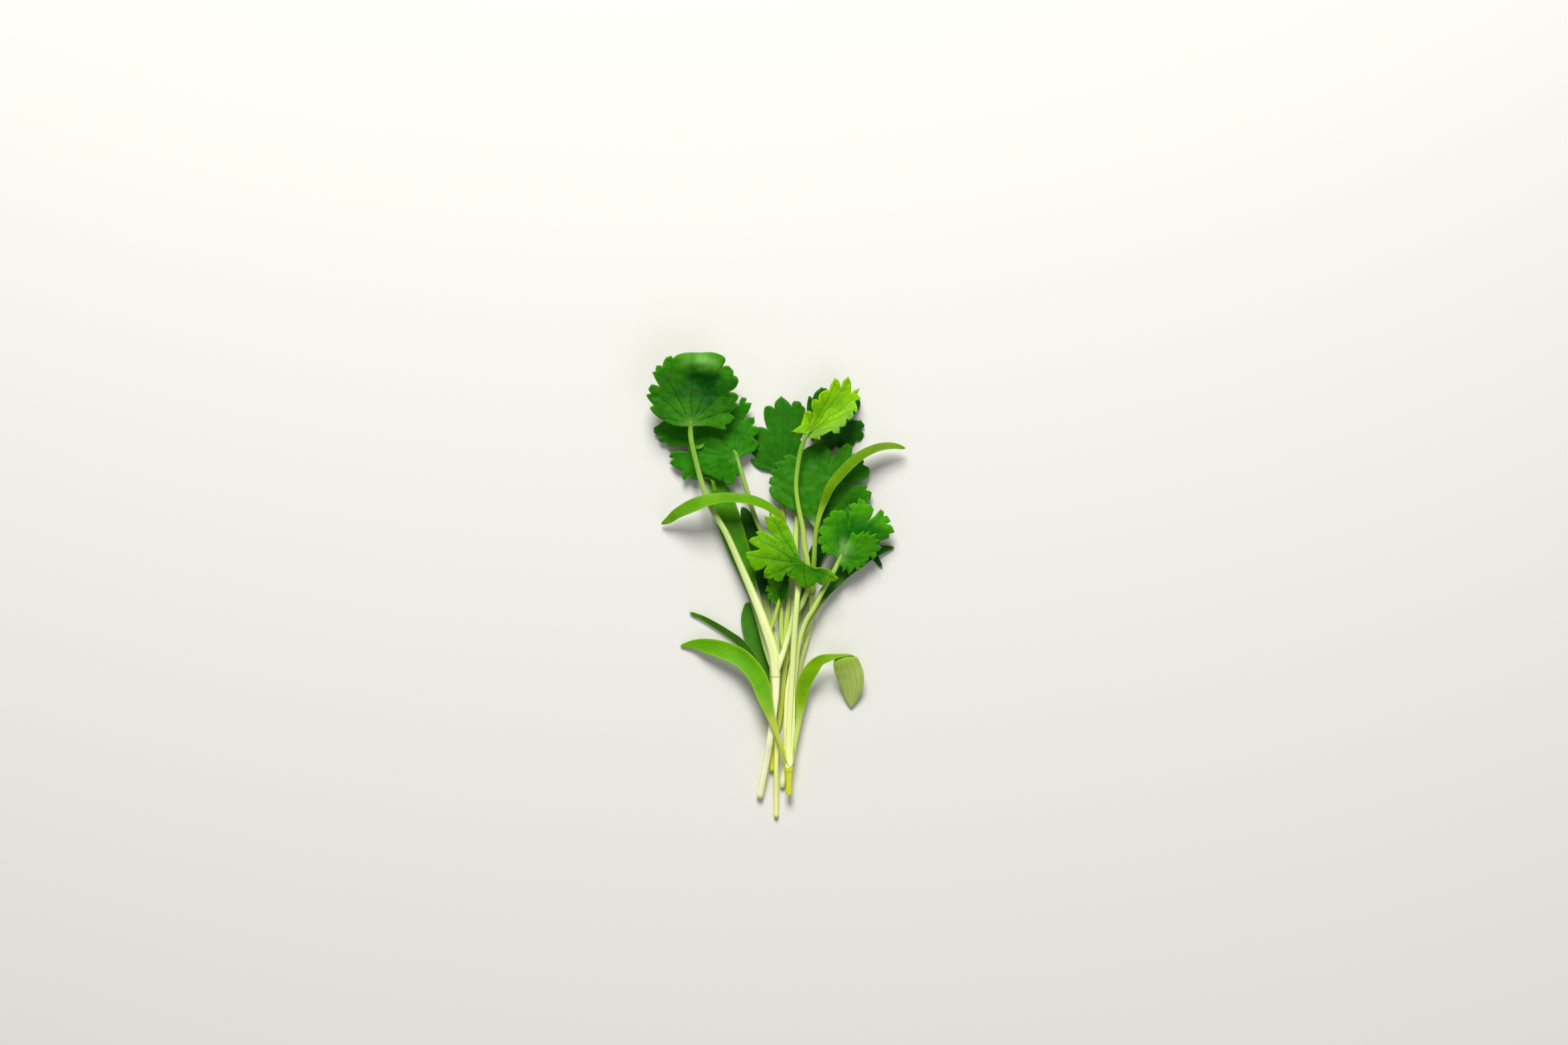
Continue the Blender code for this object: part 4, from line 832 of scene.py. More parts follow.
def leaf_mesh(name, margin, posts, lobes, painted_shading_posts=(), folds=(), painted_sheen_spots=(), ruffle=0.3, swell=0.045,
              point=0.12):
    """Make the blade of a true leaf."""
    line = margin_line(margin, MARGIN_STEP, point)
    strong, side = vein_lines(margin, lobes)
    twigs = twig_lines(strong + [line for line in side if len(line) > TWIG_VEIN])
    spots = blade_points(line, strong + side + twigs)
    joined = delaunay_2d_cdt([Vector(p) for p in spots], [], [list(range(len(line)))], 1, 0.001)
    faces = [list(face) for face in joined[2]]
    used = sorted({i for face in faces for i in face})
    number = {old: new for new, old in enumerate(used)}
    faces = [[number[i] for i in face] for face in faces]
    flat = np.array([joined[0][i][:] for i in used])
    rim = far_from(distance_tree(margin_line(margin, FINE_STEP, point)), flat)[0]
    rim = np.where(rim < AT_EDGE, 0.0, rim)
    near_strong = far_from(distance_tree(np.concatenate(strong)), flat)[0]
    near_side = far_from(distance_tree(np.concatenate(side + strong)), flat)[0]
    near_twig = far_from(distance_tree(np.concatenate(twigs)), flat)[0]
    reach = np.linalg.norm(flat - line[0], axis=1)
    reach = reach / reach.max()
    height = smooth_through(posts)(flat)
    seed = seed_of(name)
    height += ruffle * ruffled(flat, WAVE, seed) * (0.6 + 0.6 * np.exp(-rim / 1.2))
    height += 0.5 * ruffle * ruffled(flat, WAVELET, seed + 9)
    height += swell * (1 - np.exp(-(near_side / CELL) ** 2))
    height -= GROOVE * np.exp(-(near_strong / GROOVE_WIDTH) ** 2) * (1 - 0.7 * reach)
    for fold, depth, width in folds:
        apart = far_from(distance_tree(smooth_route(fold, 0.1)), flat)[0]
        height -= depth * np.exp(-np.sqrt((apart / width) ** 2 + 0.1))
    half = 0.5 * (EDGE_THICKNESS + (THICKNESS - EDGE_THICKNESS) * (1 - np.exp(-rim / EDGE_WIDTH)))
    values = {
        "vein": np.exp(-(near_strong / (VEIN_WIDTH - 0.05 * reach)) ** 2) * (1 - 0.5 * reach),
        "side_vein": np.exp(-(near_side / SIDE_VEIN_WIDTH) ** 2) * (1 - 0.6 * reach),
        "twig": np.exp(-(near_twig / TWIG_WIDTH) ** 2),
        "rim": rim,
        "reach": reach,
        # Painted sheen: soft pale spots where the glossy leaf catches the light, given as place, radius and
        # strength.
        "painted_sheen": sum((v * around(flat, x, y, r) for x, y, r, v in painted_sheen_spots), 0 * rim),
        # Painted light and shade, smooth through values given at a few places: darker in hollows and in the
        # shadow of an overlapping blade, lighter where a slope faces the light.
        "painted_shading_tint": smooth_through(painted_shading_posts)(flat) if painted_shading_posts else np.zeros(len(flat)),
    }
    keep_tips(name, margin, point, flat, height)
    return two_skins(name, np.column_stack((flat, height)) + SHIFT, faces, half, values)

TIPS = {}


def keep_tips(name, margin, point, flat, height):
    """Keep where each tooth of a blade ends and which way it points."""
    tips = np.array(tooth_tips(margin, point))
    nearest = far_from(distance_tree(flat), tips)[1]
    inward = np.array(margin[0][0]) - tips
    inner = tips + 0.5 * inward / np.linalg.norm(inward, axis=1)[:, None]
    back = far_from(distance_tree(flat), inner)[1]
    ends = np.column_stack((flat[nearest], height[nearest]))
    TIPS[name] = (ends + SHIFT, ends - np.column_stack((flat[back], height[back])))


print("a blade is", THICKNESS, "mm thick and", EDGE_THICKNESS, "mm at its edge")


# %% [markdown]
# A seed leaf is a long smooth strap, a little hollow along its middle, that narrows to a stalk. It is swept
# along its route: at each step a thin lens is laid across, as wide as the list says and turned by the roll.
# The stalk end is thick and rounded, and the blade is thin.

# %% Seed leaves
# The step along a seed leaf, the faces across it, and how hollow it is as a share of its width.
STRAP_STEP = 0.3
COLUMNS = 12
CHANNEL = 0.10
# The blade's thickness, what the stalk end adds to it, the height and length of the waves along its edge,
# the length of its rounded tip, and the width under which the lower end counts as stalk.
STRAP_THICKNESS = 0.3
STALK_THICKNESS = 0.35
STRAP_RUFFLE = 0.05
STRAP_WAVE = 3.0
TIP_LENGTH = 0.8
STALK_WIDTH = 1.9


def strap_mesh(name, points, least=0.9):
    """Sweep a seed leaf along its route. Up to its rounded tip it is no narrower than the least width."""
    route = smooth_route(points, STRAP_STEP)
    centres = route[:, :3]
    ahead = np.gradient(centres, axis=0)
    ahead = ahead / np.linalg.norm(ahead, axis=1)[:, None]
    level = np.cross(ahead, (0.0, 0.0, 1.0))
    level = level / np.linalg.norm(level, axis=1)[:, None]
    above = np.cross(level, ahead)
    roll = np.radians(route[:, 4])[:, None]
    side = level * np.cos(roll) + above * np.sin(roll)
    normal = np.cross(side, ahead)
    length = np.concatenate(([0.0], np.cumsum(np.linalg.norm(np.diff(centres, axis=0), axis=1))))
    to_tip = (length[-1] - length) / TIP_LENGTH
    blunt = np.sqrt(np.clip(1 - (1 - np.clip(to_tip, 0, 1)) ** 2, 0.02, 1))
    width = np.maximum(route[:, 3], least * np.clip(to_tip, 0, 1)) * blunt
    stalk = np.clip((STALK_WIDTH - width) / 0.9, 0, 1) * (length < 0.6 * length[-1])
    seed = seed_of(name)
    wave = np.array([noise.noise(Vector((s / STRAP_WAVE, 0.0, seed))) for s in length])
    thick = (STRAP_THICKNESS + STALK_THICKNESS * stalk) * np.minimum(1, width / 0.6)
    u = -np.cos(np.linspace(0, math.pi, COLUMNS + 1))
    hollow = (2 * CHANNEL * (1 - 0.7 * stalk))[:, None] * (1 - u ** 2)
    edge = STRAP_RUFFLE * (np.abs(u) ** 3)[None] * wave[:, None] * (1 - stalk)[:, None]
    rise = (width / 2)[:, None] * -hollow + edge * np.minimum(1, width)[:, None]
    across = centres[:, None] + side[:, None] * (width[:, None] / 2 * u)[..., None]
    across = across + normal[:, None] * rise[..., None]
    lens = 0.5 * thick[:, None] * np.sqrt(np.clip(1 - u ** 2, 0, 1))
    upper = across + normal[:, None] * lens[..., None]
    lower = across - normal[:, None] * lens[..., None]
    ring = np.concatenate((upper, lower[:, -2:0:-1]), axis=1) + SHIFT
    rows, around = ring.shape[:2]
    faces = []
    for i in range(rows - 1):
        for j in range(around):
            k = (j + 1) % around
            faces.append((i * around + j, i * around + k, (i + 1) * around + k, (i + 1) * around + j))
    faces.append(tuple(range(around - 1, -1, -1)))
    faces.append(tuple((rows - 1) * around + j for j in range(around)))
    mesh = bpy.data.meshes.new(name)
    mesh.from_pydata((ring.reshape(-1, 3) * MM).tolist(), [], faces)
    mesh.polygons.foreach_set("use_smooth", [True] * len(faces))
    ring_u = np.concatenate((u, u[-2:0:-1]))
    ring_under = np.concatenate((np.zeros(COLUMNS + 1), np.ones(COLUMNS - 1)))
    carry(mesh, {
        "across": np.tile(ring_u, rows),
        "under": np.tile(ring_under, rows),
        "along": np.repeat(length / length[-1], around),
        "stalk": np.repeat(stalk, around),
    })
    return mesh


print("a seed leaf has", 2 * COLUMNS, "points round each of its rings")

# %% [markdown]
# Stems and petioles are round, juicy and finely ribbed. A petiole is one profile that follows one path, so
# Geometry Nodes suit it: the path is a row of points that carry their own thickness, the profile is a circle
# with shallow ribs, and one node sweeps it. Every stalk comes from the same tree.

# %% The tree that sweeps a stalk
def new_tree(name, sizes):
    """Start a Geometry Nodes tree with named sizes and a material as its inputs."""
    tree = bpy.data.node_groups.new(name, "GeometryNodeTree")
    tree.interface.new_socket("Geometry", in_out="INPUT", socket_type="NodeSocketGeometry")
    for label, (kind, value) in sizes.items():
        tree.interface.new_socket(label, in_out="INPUT", socket_type=kind).default_value = value
    tree.interface.new_socket("Material", in_out="INPUT", socket_type="NodeSocketMaterial")
    tree.interface.new_socket("Geometry", in_out="OUTPUT", socket_type="NodeSocketGeometry")
    entry = tree.nodes.new("NodeGroupInput")
    wiring = Wiring(tree)
    given = {socket.name: Signal(wiring, socket) for socket in entry.outputs if socket.name}
    return wiring, given


def close_tree(wiring, given, shape):
    """Make the shape real, give it its material and pass it on."""
    real = wiring.node("GeometryNodeRealizeInstances", inputs={"Geometry": shape})
    smooth = wiring.node("GeometryNodeSetShadeSmooth", inputs={"Geometry": real})
    done = wiring.node("GeometryNodeSetMaterial", inputs={"Geometry": smooth, "Material": given["Material"]})
    wiring.node("NodeGroupOutput", inputs={"Geometry": done}, output=None)
    return wiring.tree


def stored(wiring, shape, name, value):
    """Store a number on every point of a shape."""
    inputs = {"Geometry": shape, "Name": name, "Value": value}
    return wiring.node("GeometryNodeStoreNamedAttribute", {"data_type": "FLOAT", "domain": "POINT"}, inputs)


def stalk_tree():
    """Build the tree that turns a row of points into a ribbed stalk."""
    sizes = {
        "Sides": ("NodeSocketInt", 32),
        "Ribs": ("NodeSocketInt", 8),
        "Rib Depth": ("NodeSocketFloat", 0.025),
    }
    wiring, given = new_tree("stalk", sizes)
    path = wiring.node("GeometryNodeMeshToCurve", inputs={"Mesh": given["Geometry"]})
    part = wiring.node("GeometryNodeSplineParameter", output="Factor")
    path = stored(wiring, path, "along", part)
    inputs = {"Resolution": given["Sides"]}
    circle = wiring.node("GeometryNodeCurvePrimitiveCircle", {"mode": "RADIUS"}, inputs)
    turn = wiring.node("GeometryNodeInputIndex") * (2 * math.pi) * wiring.node(
        "ShaderNodeMath", {"operation": "DIVIDE"}, {0: 1.0, 1: given["Sides"]})
    circle = stored(wiring, circle, "turn", turn)
    rib = (turn * given["Ribs"]).cos() * given["Rib Depth"] + 1
    place = wiring.node("GeometryNodeInputPosition")
    place = wiring.node("ShaderNodeVectorMath", {"operation": "SCALE"}, {"Vector": place, "Scale": rib})
    circle = wiring.node("GeometryNodeSetPosition", inputs={"Geometry": circle, "Position": place})
    thick = wiring.node("GeometryNodeInputNamedAttribute", {"data_type": "FLOAT"}, {"Name": "thick"})
    inputs = {"Curve": path, "Profile Curve": circle, "Scale": thick, "Fill Caps": True}
    return close_tree(wiring, given, wiring.node("GeometryNodeCurveToMesh", inputs=inputs))

STALK_TREE = stalk_tree()
print("the stalk tree has", len(STALK_TREE.nodes), "nodes")


# %% Running a tree on an object
def grown(name, mesh, tree, material, sizes=None):
    """Run a tree on a mesh and return the plain object that it makes."""
    item = placed(name + "_path", mesh)
    growth = item.modifiers.new("growth", "NODES")
    growth.node_group = tree
    chosen = {"Material": material, **(sizes or {})}
    for socket in tree.interface.items_tree:
        if socket.in_out == "INPUT" and socket.name in chosen:
            growth[socket.identifier] = chosen[socket.name]
    depsgraph = bpy.context.evaluated_depsgraph_get()
    depsgraph.update()
    made = bpy.data.meshes.new_from_object(item.evaluated_get(depsgraph))
    made.name = name
    bpy.data.objects.remove(item, do_unlink=True)
    return placed(name, made)


def stalk_path(name, points, step=0.5):
    """Return the row of points that a stalk follows, with half its thickness on each."""
    route = smooth_route(points, step)
    path = bpy.data.meshes.new(name + "_points")
    edges = [(i, i + 1) for i in range(len(route) - 1)]
    path.from_pydata(((route[:, :3] + SHIFT) * MM).tolist(), edges, [])
    carry(path, {"thick": route[:, 3] / 2 * MM})
    return path


# For three places on the way, how far along they are, and how much of the petiole's thickness is left.
THINNING = ((0.35, 0.7), (0.7, 0.45), (1.0, 0.2))
SINKING = 0.06


def run_out(points, posts, toward, reach=1.1):
    """Let a petiole thin out along its blade, as the foot of the middle vein."""
    start = np.array(points[-1][:2])
    way = np.array(toward) - start
    way = way / np.linalg.norm(way)
    surface = smooth_through(posts)
    ends = []
    for part, thin in THINNING:
        spot = start + part * reach * way
        ends.append((*spot, float(surface(spot[None])[0]) - SINKING * part, thin * points[-1][3]))
    return points + ends


print("a stem's path has", len(stalk_path("trial", LEFT_STEM).vertices), "points")

# %% [markdown]
# A living leaf is never one green. It is yellower where it is young or near its edge, where the fresher
# colour is partly a painted highlight, its veins are drawn in a darker line, and its underside is paler and
# duller. The finish mixes these from what the mesh carries: the distance to the margin, the veins, the side,
# painted light and shade that was chosen at a few places, darker in the hollows and lighter on slopes that
# face the light, and spots of painted sheen. Fine noise breaks it up, and the same signals raise and sink
# the surface slightly.

# %% Finishes of the true leaves
def noise_signal(wiring, scale, detail=3.0):
    """Return soft noise in the object's own space, from 0 to 1."""
    place = wiring.node("ShaderNodeTexCoord", output="Object")
    return wiring.node("ShaderNodeTexNoise", inputs={"Vector": place, "Scale": scale, "Detail": detail})


def cell_signal(wiring, scale):
    """Return the distance from the walls of small cells."""
    place = wiring.node("ShaderNodeTexCoord", output="Object")
    settings = {"feature": "DISTANCE_TO_EDGE"}
    return wiring.node("ShaderNodeTexVoronoi", settings, {"Vector": place, "Scale": scale}, "Distance")


def bumped(wiring, height, distance):
    """Return a normal that follows a height signal."""
    inputs = {"Height": height, "Distance": distance, "Strength": 1.0}
    return wiring.node("ShaderNodeBump", inputs=inputs)


def finished(name, wiring, material, inputs):
    """Close a material with one Principled shader."""
    shader = wiring.node("ShaderNodeBsdfPrincipled", inputs=inputs, output="BSDF")
    wiring.node("ShaderNodeOutputMaterial", inputs={"Surface": shader}, output=None)
    return material


def new_material(name):
    """Return an empty material and its wiring."""
    material = bpy.data.materials.new(name)
    material.use_nodes = True
    material.node_tree.nodes.clear()
    return material, Wiring(material.node_tree)


# How fine the mottling, the grain and the net of the smallest veins are, and how deep the bump in metres.
BLADE_MOTTLE = 330.0
BLADE_GRAIN = 2600.0
BLADE_NET = 1700.0
BLADE_BUMP = 0.00006


def blade_finish(name, deep, fresh, under, vein, star=(190, 215, 150), lines=0.6, gloss=0.52,
                 painted_sheen=(140, 192, 100)):
    """Return the finish of one true leaf."""
    material, wiring = new_material(name)
    mottle = noise_signal(wiring, BLADE_MOTTLE)
    grain = noise_signal(wiring, BLADE_GRAIN, 2.0)
    net = 1 - cell_signal(wiring, BLADE_NET).between(0.0, 0.16)
    rim = wiring.attribute("rim")
    reach = wiring.attribute("reach")
    strong = wiring.attribute("vein")
    side = wiring.attribute("side_vein")
    # The tone starts from the painted light and shade that the mesh carries. The noise is the leaf's own
    # uneven tone.
    tone = wiring.attribute("painted_shading_tint") + (mottle - 0.5) * 1.5 + (grain - 0.5) * 0.5
    # Near the margin the colour turns fresher. This is partly the leaf's own paler edge and partly a painted
    # highlight along it.
    tone = tone + (1 - rim.between(0.0, 0.4)) * 0.7
    body = wiring.mix(tone.between(-1.0, 1.0), deep, fresh)
    body = wiring.mix(net * 0.14 * lines, body, vein)
    body = wiring.mix(wiring.attribute("twig") * 0.4 * lines, body, vein)
    body = wiring.mix(side * 0.75 * lines, body, vein)
    body = wiring.mix(strong * lines, body, vein)
    heart = (1 - reach.between(0.02, 0.22)) * (strong * 0.6 + 0.15)
    body = wiring.mix(heart, body, star)
    # Painted sheen: pale patches where the glossy leaf catches the light, painted into its colour.
    body = wiring.mix(wiring.attribute("painted_sheen") * (mottle.between(0.2, 0.7) * 0.5 + 0.5), body, painted_sheen)
    lower = wiring.mix((strong * 0.6 + side * 0.4).between(0.0, 1.2), under, star)
    body = wiring.mix(wiring.attribute("under"), body, lower)
    height = grain * 0.5 - net * 0.15 - side * 0.25 - strong * 0.3
    return finished(name, wiring, material, {
        "Base Color": body,
        "Roughness": gloss + (grain - 0.5) * 0.25 + (mottle - 0.5) * 0.2,
        "Normal": bumped(wiring, height, BLADE_BUMP),
        "Specular IOR Level": 0.11,
        "Subsurface Weight": 0.1,
        "Subsurface Radius": (0.5, 1.0, 0.1),
        "Subsurface Scale": 0.0005,
    })


# The tint is painted light and shade, and the bloom is painted sheen.
print("a true leaf's finish reads its rim, reach, veins, twigs, tint, bloom and side")


# %% [markdown]
# Seed leaves are smoother and a little fleshier than true leaves. Their few veins run lengthwise. Towards
# the stalk end they fade to the pale green of the stems, and their underside is dull and light.

# %% Finishes of the seed leaves
# How fine the mottling and the grain are, how close the lengthwise lines, and how deep the bump in metres.
STRAP_MOTTLE = 240.0
STRAP_GRAIN = 2400.0
STRAP_LINES = 15.7
STRAP_BUMP = 0.00006
STRAP_ROUGHNESS = 0.5
DRY_TIP = (190, 175, 120)


def strap_finish(name, upper, light, under, edge, stalk=(190, 210, 120), pale=0.2):
    """Return the finish of one seed leaf, whose stalk end is pale up to a part of its length."""
    material, wiring = new_material(name)
    mottle = noise_signal(wiring, STRAP_MOTTLE)
    grain = noise_signal(wiring, STRAP_GRAIN, 2.0)
    across = wiring.attribute("across")
    along = wiring.attribute("along")
    lines = (across * STRAP_LINES + (mottle - 0.5) * 1.6).cos().between(0.88, 1.0)
    # Along both edges the colour turns to the edge colour. This is partly the seed leaf's own paler rim and
    # partly a painted highlight along its edges.
    paler_edge_and_highlight = (across * across).between(0.45, 1.0)
    body = wiring.mix((mottle + (grain - 0.5) * 0.3).between(0.1, 0.9), upper, light)
    body = wiring.mix(lines * 0.1, body, light)
    body = wiring.mix(paler_edge_and_highlight * 0.4, body, edge)
    lower = wiring.mix(lines * 0.28, under, upper)
    body = wiring.mix(wiring.attribute("under"), body, lower)
    body = wiring.mix(wiring.attribute("stalk") * 0.9, body, stalk)
    body = wiring.mix((1 - along.between(0.0, pale)) * 0.8, body, stalk)
    body = wiring.mix(along.between(0.985, 1.0) * 0.7, body, DRY_TIP)
    return finished(name, wiring, material, {
        "Base Color": body,
        "Roughness": STRAP_ROUGHNESS + (grain - 0.5) * 0.2 + (mottle - 0.5) * 0.2,
        "Normal": bumped(wiring, grain * 0.4 - lines * 0.35 + mottle * 0.8, STRAP_BUMP),
        "Specular IOR Level": 0.16,
        "Subsurface Weight": 0.12,
        "Subsurface Radius": (0.5, 1.0, 0.1),
        "Subsurface Scale": 0.0006,
    })


print("a seed leaf's finish reads its width, length, stalk end and side")


# %% [markdown]
# Cut stems are nearly white with a green or yellow cast, moist and slightly see-through. The streaks run
# lengthwise, so their noise is stretched along the stalk: it is read at the turn round the stalk and only a
# little at the length. A petiole turns greener towards its leaf.

# %% Finishes of the stalks
STALK_STREAKS = 3.2
STALK_GRAIN = 1800.0
STALK_BUMP = 0.00005
STALK_ROUGHNESS = 0.42
BLOOM_WHITE = (250, 252, 230)


def stalk_finish(name, low, high, streak, cut=None, leaf=None):
    """Return the finish of a stem or petiole. A cut end has dried, and a leaf end has the leaf's colour."""
    material, wiring = new_material(name)
    along = wiring.attribute("along")
    turn = wiring.attribute("turn")
    place = wiring.node("ShaderNodeCombineXYZ", inputs={"X": turn.cos(), "Y": turn.sin(), "Z": along * 1.6})
    inputs = {"Vector": place, "Scale": STALK_STREAKS, "Detail": 4.0}
    streaks = wiring.node("ShaderNodeTexNoise", inputs=inputs)
    grain = noise_signal(wiring, STALK_GRAIN, 2.0)
    body = wiring.mix(along.between(0.0, 1.0), low, high)
    body = wiring.mix(streaks.between(0.4, 0.75) * 0.5, body, streak)
    body = wiring.mix((grain - 0.5) * 0.1 + 0.03, body, BLOOM_WHITE)
    if cut:
        body = wiring.mix((1 - along.between(0.0, 0.035)) * 0.8, body, cut)
    if leaf:
        body = wiring.mix(along.between(0.93, 0.99) * 0.85, body, leaf)
    ribs = (turn * 8).cos()
    return finished(name, wiring, material, {
        "Base Color": body,
        "Roughness": STALK_ROUGHNESS + (grain - 0.5) * 0.2,
        "Normal": bumped(wiring, ribs * 0.2 + streaks * 0.7 + grain * 0.3, STALK_BUMP),
        "Specular IOR Level": 0.25,
        "Subsurface Weight": 0.2,
        "Subsurface Radius": (0.9, 1.0, 0.3),
        "Subsurface Scale": 0.0003,
    })


print("three kinds of finish are ready")

# %% [markdown]
# Each seedling grew as one plant, and its finer pieces all stand for its one solid. A helper hides that
# solid and lets the piece ride on the bunch's one body.


def fitted(piece, seedling):
    """Let a piece ride on the bunch's one body, hide the solid that it stands for, and print its faces and
    lowest point.
    """
    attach(piece, BODY)
    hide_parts(seedling)
    low = min(vertex.co.z for vertex in piece.data.vertices) / MM
    print(piece.name, len(piece.data.polygons), "faces, lowest point", round(low, 2), "mm")
    return piece


def add_stalk(seedling, name, points, finish, step=0.5):
    """Grow a stem or petiole."""
    piece = grown(f"{seedling}_{name}", stalk_path(name, points, step), STALK_TREE, finish)
    return fitted(piece, seedling)


# %% [markdown]
# On a young coriander leaf every tooth ends in a tiny gland that dries to a grey-brown point. They are all
# alike, so Geometry Nodes place one small drop on each tooth's tip, turned along the tooth, with its size
# varied a little by a fixed seed.

# %% The tree that sets a drop on every tooth
def tip_tree():
    """Build the tree that sets a small pointed drop on every point."""
    sizes = {
        "Length": ("NodeSocketFloat", 0.34 * MM),
        "Width": ("NodeSocketFloat", 0.15 * MM),
        "Seed": ("NodeSocketInt", 4),
    }
    wiring, given = new_tree("tooth_tips", sizes)
    drop = wiring.node("GeometryNodeMeshIcoSphere", inputs={"Radius": 0.5, "Subdivisions": 2}, output="Mesh")
    inputs = {"X": given["Width"], "Y": given["Width"], "Z": given["Length"]}
    place = wiring.node("ShaderNodeCombineXYZ", inputs=inputs)
    drop = wiring.node("GeometryNodeTransform", inputs={"Geometry": drop, "Scale": place})
    ahead = wiring.node("GeometryNodeInputNamedAttribute", {"data_type": "FLOAT_VECTOR"}, {"Name": "ahead"})
    turned = wiring.node("FunctionNodeAlignRotationToVector", {"axis": "Z"}, {"Vector": ahead})
    inputs = {"Min_001": 0.7, "Max_001": 1.25, "Seed": given["Seed"]}
    varied = wiring.node("FunctionNodeRandomValue", {"data_type": "FLOAT"}, inputs, "Value_001")
    points = wiring.node("GeometryNodeMeshToPoints", inputs={"Mesh": given["Geometry"]})
    inputs = {"Points": points, "Instance": drop, "Rotation": turned, "Scale": varied}
    return close_tree(wiring, given, wiring.node("GeometryNodeInstanceOnPoints", inputs=inputs))


def tip_finish(name, young, dry):
    """Return the finish of the drops."""
    material, wiring = new_material(name)
    mottle = noise_signal(wiring, 900.0)
    return finished(name, wiring, material, {
        "Base Color": wiring.mix(mottle.between(0.35, 0.65), young, dry),
        "Roughness": 0.5 + (mottle - 0.5) * 0.3,
    })

TIP_TREE = tip_tree()
TIP_BROWN = tip_finish("dry_tooth_tips", (120, 120, 50), (84, 58, 40))
TIP_GREEN = tip_finish("green_tooth_tips", (100, 140, 40), (120, 120, 60))
print("the tooth tip tree has", len(TIP_TREE.nodes), "nodes")


def add_tips(seedling, leaf, finish, sizes=None, name=None):
    """Set the drops on the teeth of one leaf."""
    ends, ahead = TIPS[leaf]
    name = name or leaf + "_leaf_tips"
    points = bpy.data.meshes.new(name + "_points")
    points.from_pydata((ends * MM).tolist(), [], [])
    ways = points.attributes.new("ahead", "FLOAT_VECTOR", "POINT").data
    ways.foreach_set("vector", np.asarray(ahead, dtype=np.float32).ravel())
    piece = grown(f"{seedling}_{name}", points, TIP_TREE, finish, sizes)
    return fitted(piece, seedling)


# %% Adding a leaf
def add_mesh(seedling, name, mesh, finish):
    """Add a leaf or seed leaf."""
    mesh.materials.append(finish)
    mesh.name = f"{seedling}_{name}"
    return fitted(placed(mesh.name, mesh), seedling)


def add_seed_leaf(seedling, name, points, finish, least=0.9):
    """Add a whole seed leaf."""
    return add_mesh(seedling, name + "_seed_leaf", strap_mesh(name, points, least), finish)


print("pieces of", len(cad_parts), "seedlings can be fitted")

# %% [markdown]
# The left seedling has the thickest stem. Its long petiole carries the round fan leaf, whose veins spread
# from one pale star, and its short one the yellower middle leaf, which hangs over the other petioles.

# %% The left seedling
FAN_LOBES = [
    (-23.0, 32.6), (-24.9, 37.9), (-23.0, 42.6), (-16.5, 45.2), (-10.2, 43.6), (-7.9, 39.4),
    (-8.6, 34.0),
]
# Painted light and shade on the fan leaf: shade in the hollow under the rolled top margin, light on its
# crest.
FAN_PAINTED_SHADING = [
    (-16.8, 31.5, 0.4), (-22.0, 34.0, 0.0), (-24.0, 38.5, 0.0), (-16.5, 37.0, -0.3), (-9.0, 37.0, -0.2),
    (-14.0, 40.4, -0.8), (-11.0, 39.8, -0.5), (-14.5, 43.8, 1.2), (-18.5, 43.6, 0.5), (-22.5, 42.5, 0.2),
    (-10.0, 43.0, 0.3), (-20.5, 39.0, -0.2),
]
# Painted sheen where the rolled top margin catches the light.
FAN_PAINTED_SHEEN = [(-17.4, 44.2, 1.3, 0.3), (-14.4, 43.9, 1.3, 0.75), (-12.3, 43.4, 1.0, 0.4)]
MIDDLE_LOBES = [(-1.2, 14.1), (-4.7, 9.9), (-5.8, 5.9), (-2.2, 1.8), (1.0, 1.3), (5.6, -0.1), (11.4, 1.3)]
# Painted shade on the right part of the middle leaf and painted light on its left part.
MIDDLE_PAINTED_SHADING = [
    (5.4, 4.6, -0.3), (0.0, 11.0, 0.5), (-4.0, 8.5, 0.6), (2.0, 4.5, -0.2), (5.0, 0.4, 0.0),
    (10.5, 1.5, 0.1), (7.5, 2.2, -0.7), (-2.0, 5.0, 0.3), (-4.6, 4.2, 0.4),
]

LEFT_PALE = stalk_finish("pale_stem", (252, 250, 202), (246, 250, 192), (226, 236, 150), (205, 200, 110))
LEFT_PETIOLE = stalk_finish(
    "fan_petiole_green", (248, 252, 184), (118, 176, 16), (196, 222, 96), leaf=(74, 140, 14),
)
FAN_GREEN = blade_finish(
    "fan_leaf_green", (2, 68, 0), (60, 140, 0), (90, 130, 40), (4, 50, 0), (120, 170, 60), lines=0.75,
    gloss=0.58,
)
MIDDLE_GREEN = blade_finish(
    "middle_leaf_green", (40, 122, 0), (112, 176, 0), (110, 145, 50), (22, 84, 0), (60, 132, 0),
    lines=0.75,
)
BROAD_GREEN = strap_finish(
    "broad_seed_leaf_green", (46, 112, 0), (78, 146, 0), (110, 150, 50), (98, 160, 16),
)
DARK_GREEN = strap_finish("dark_seed_leaf_green", (12, 64, 0), (28, 88, 0), (80, 120, 40), (50, 110, 10))

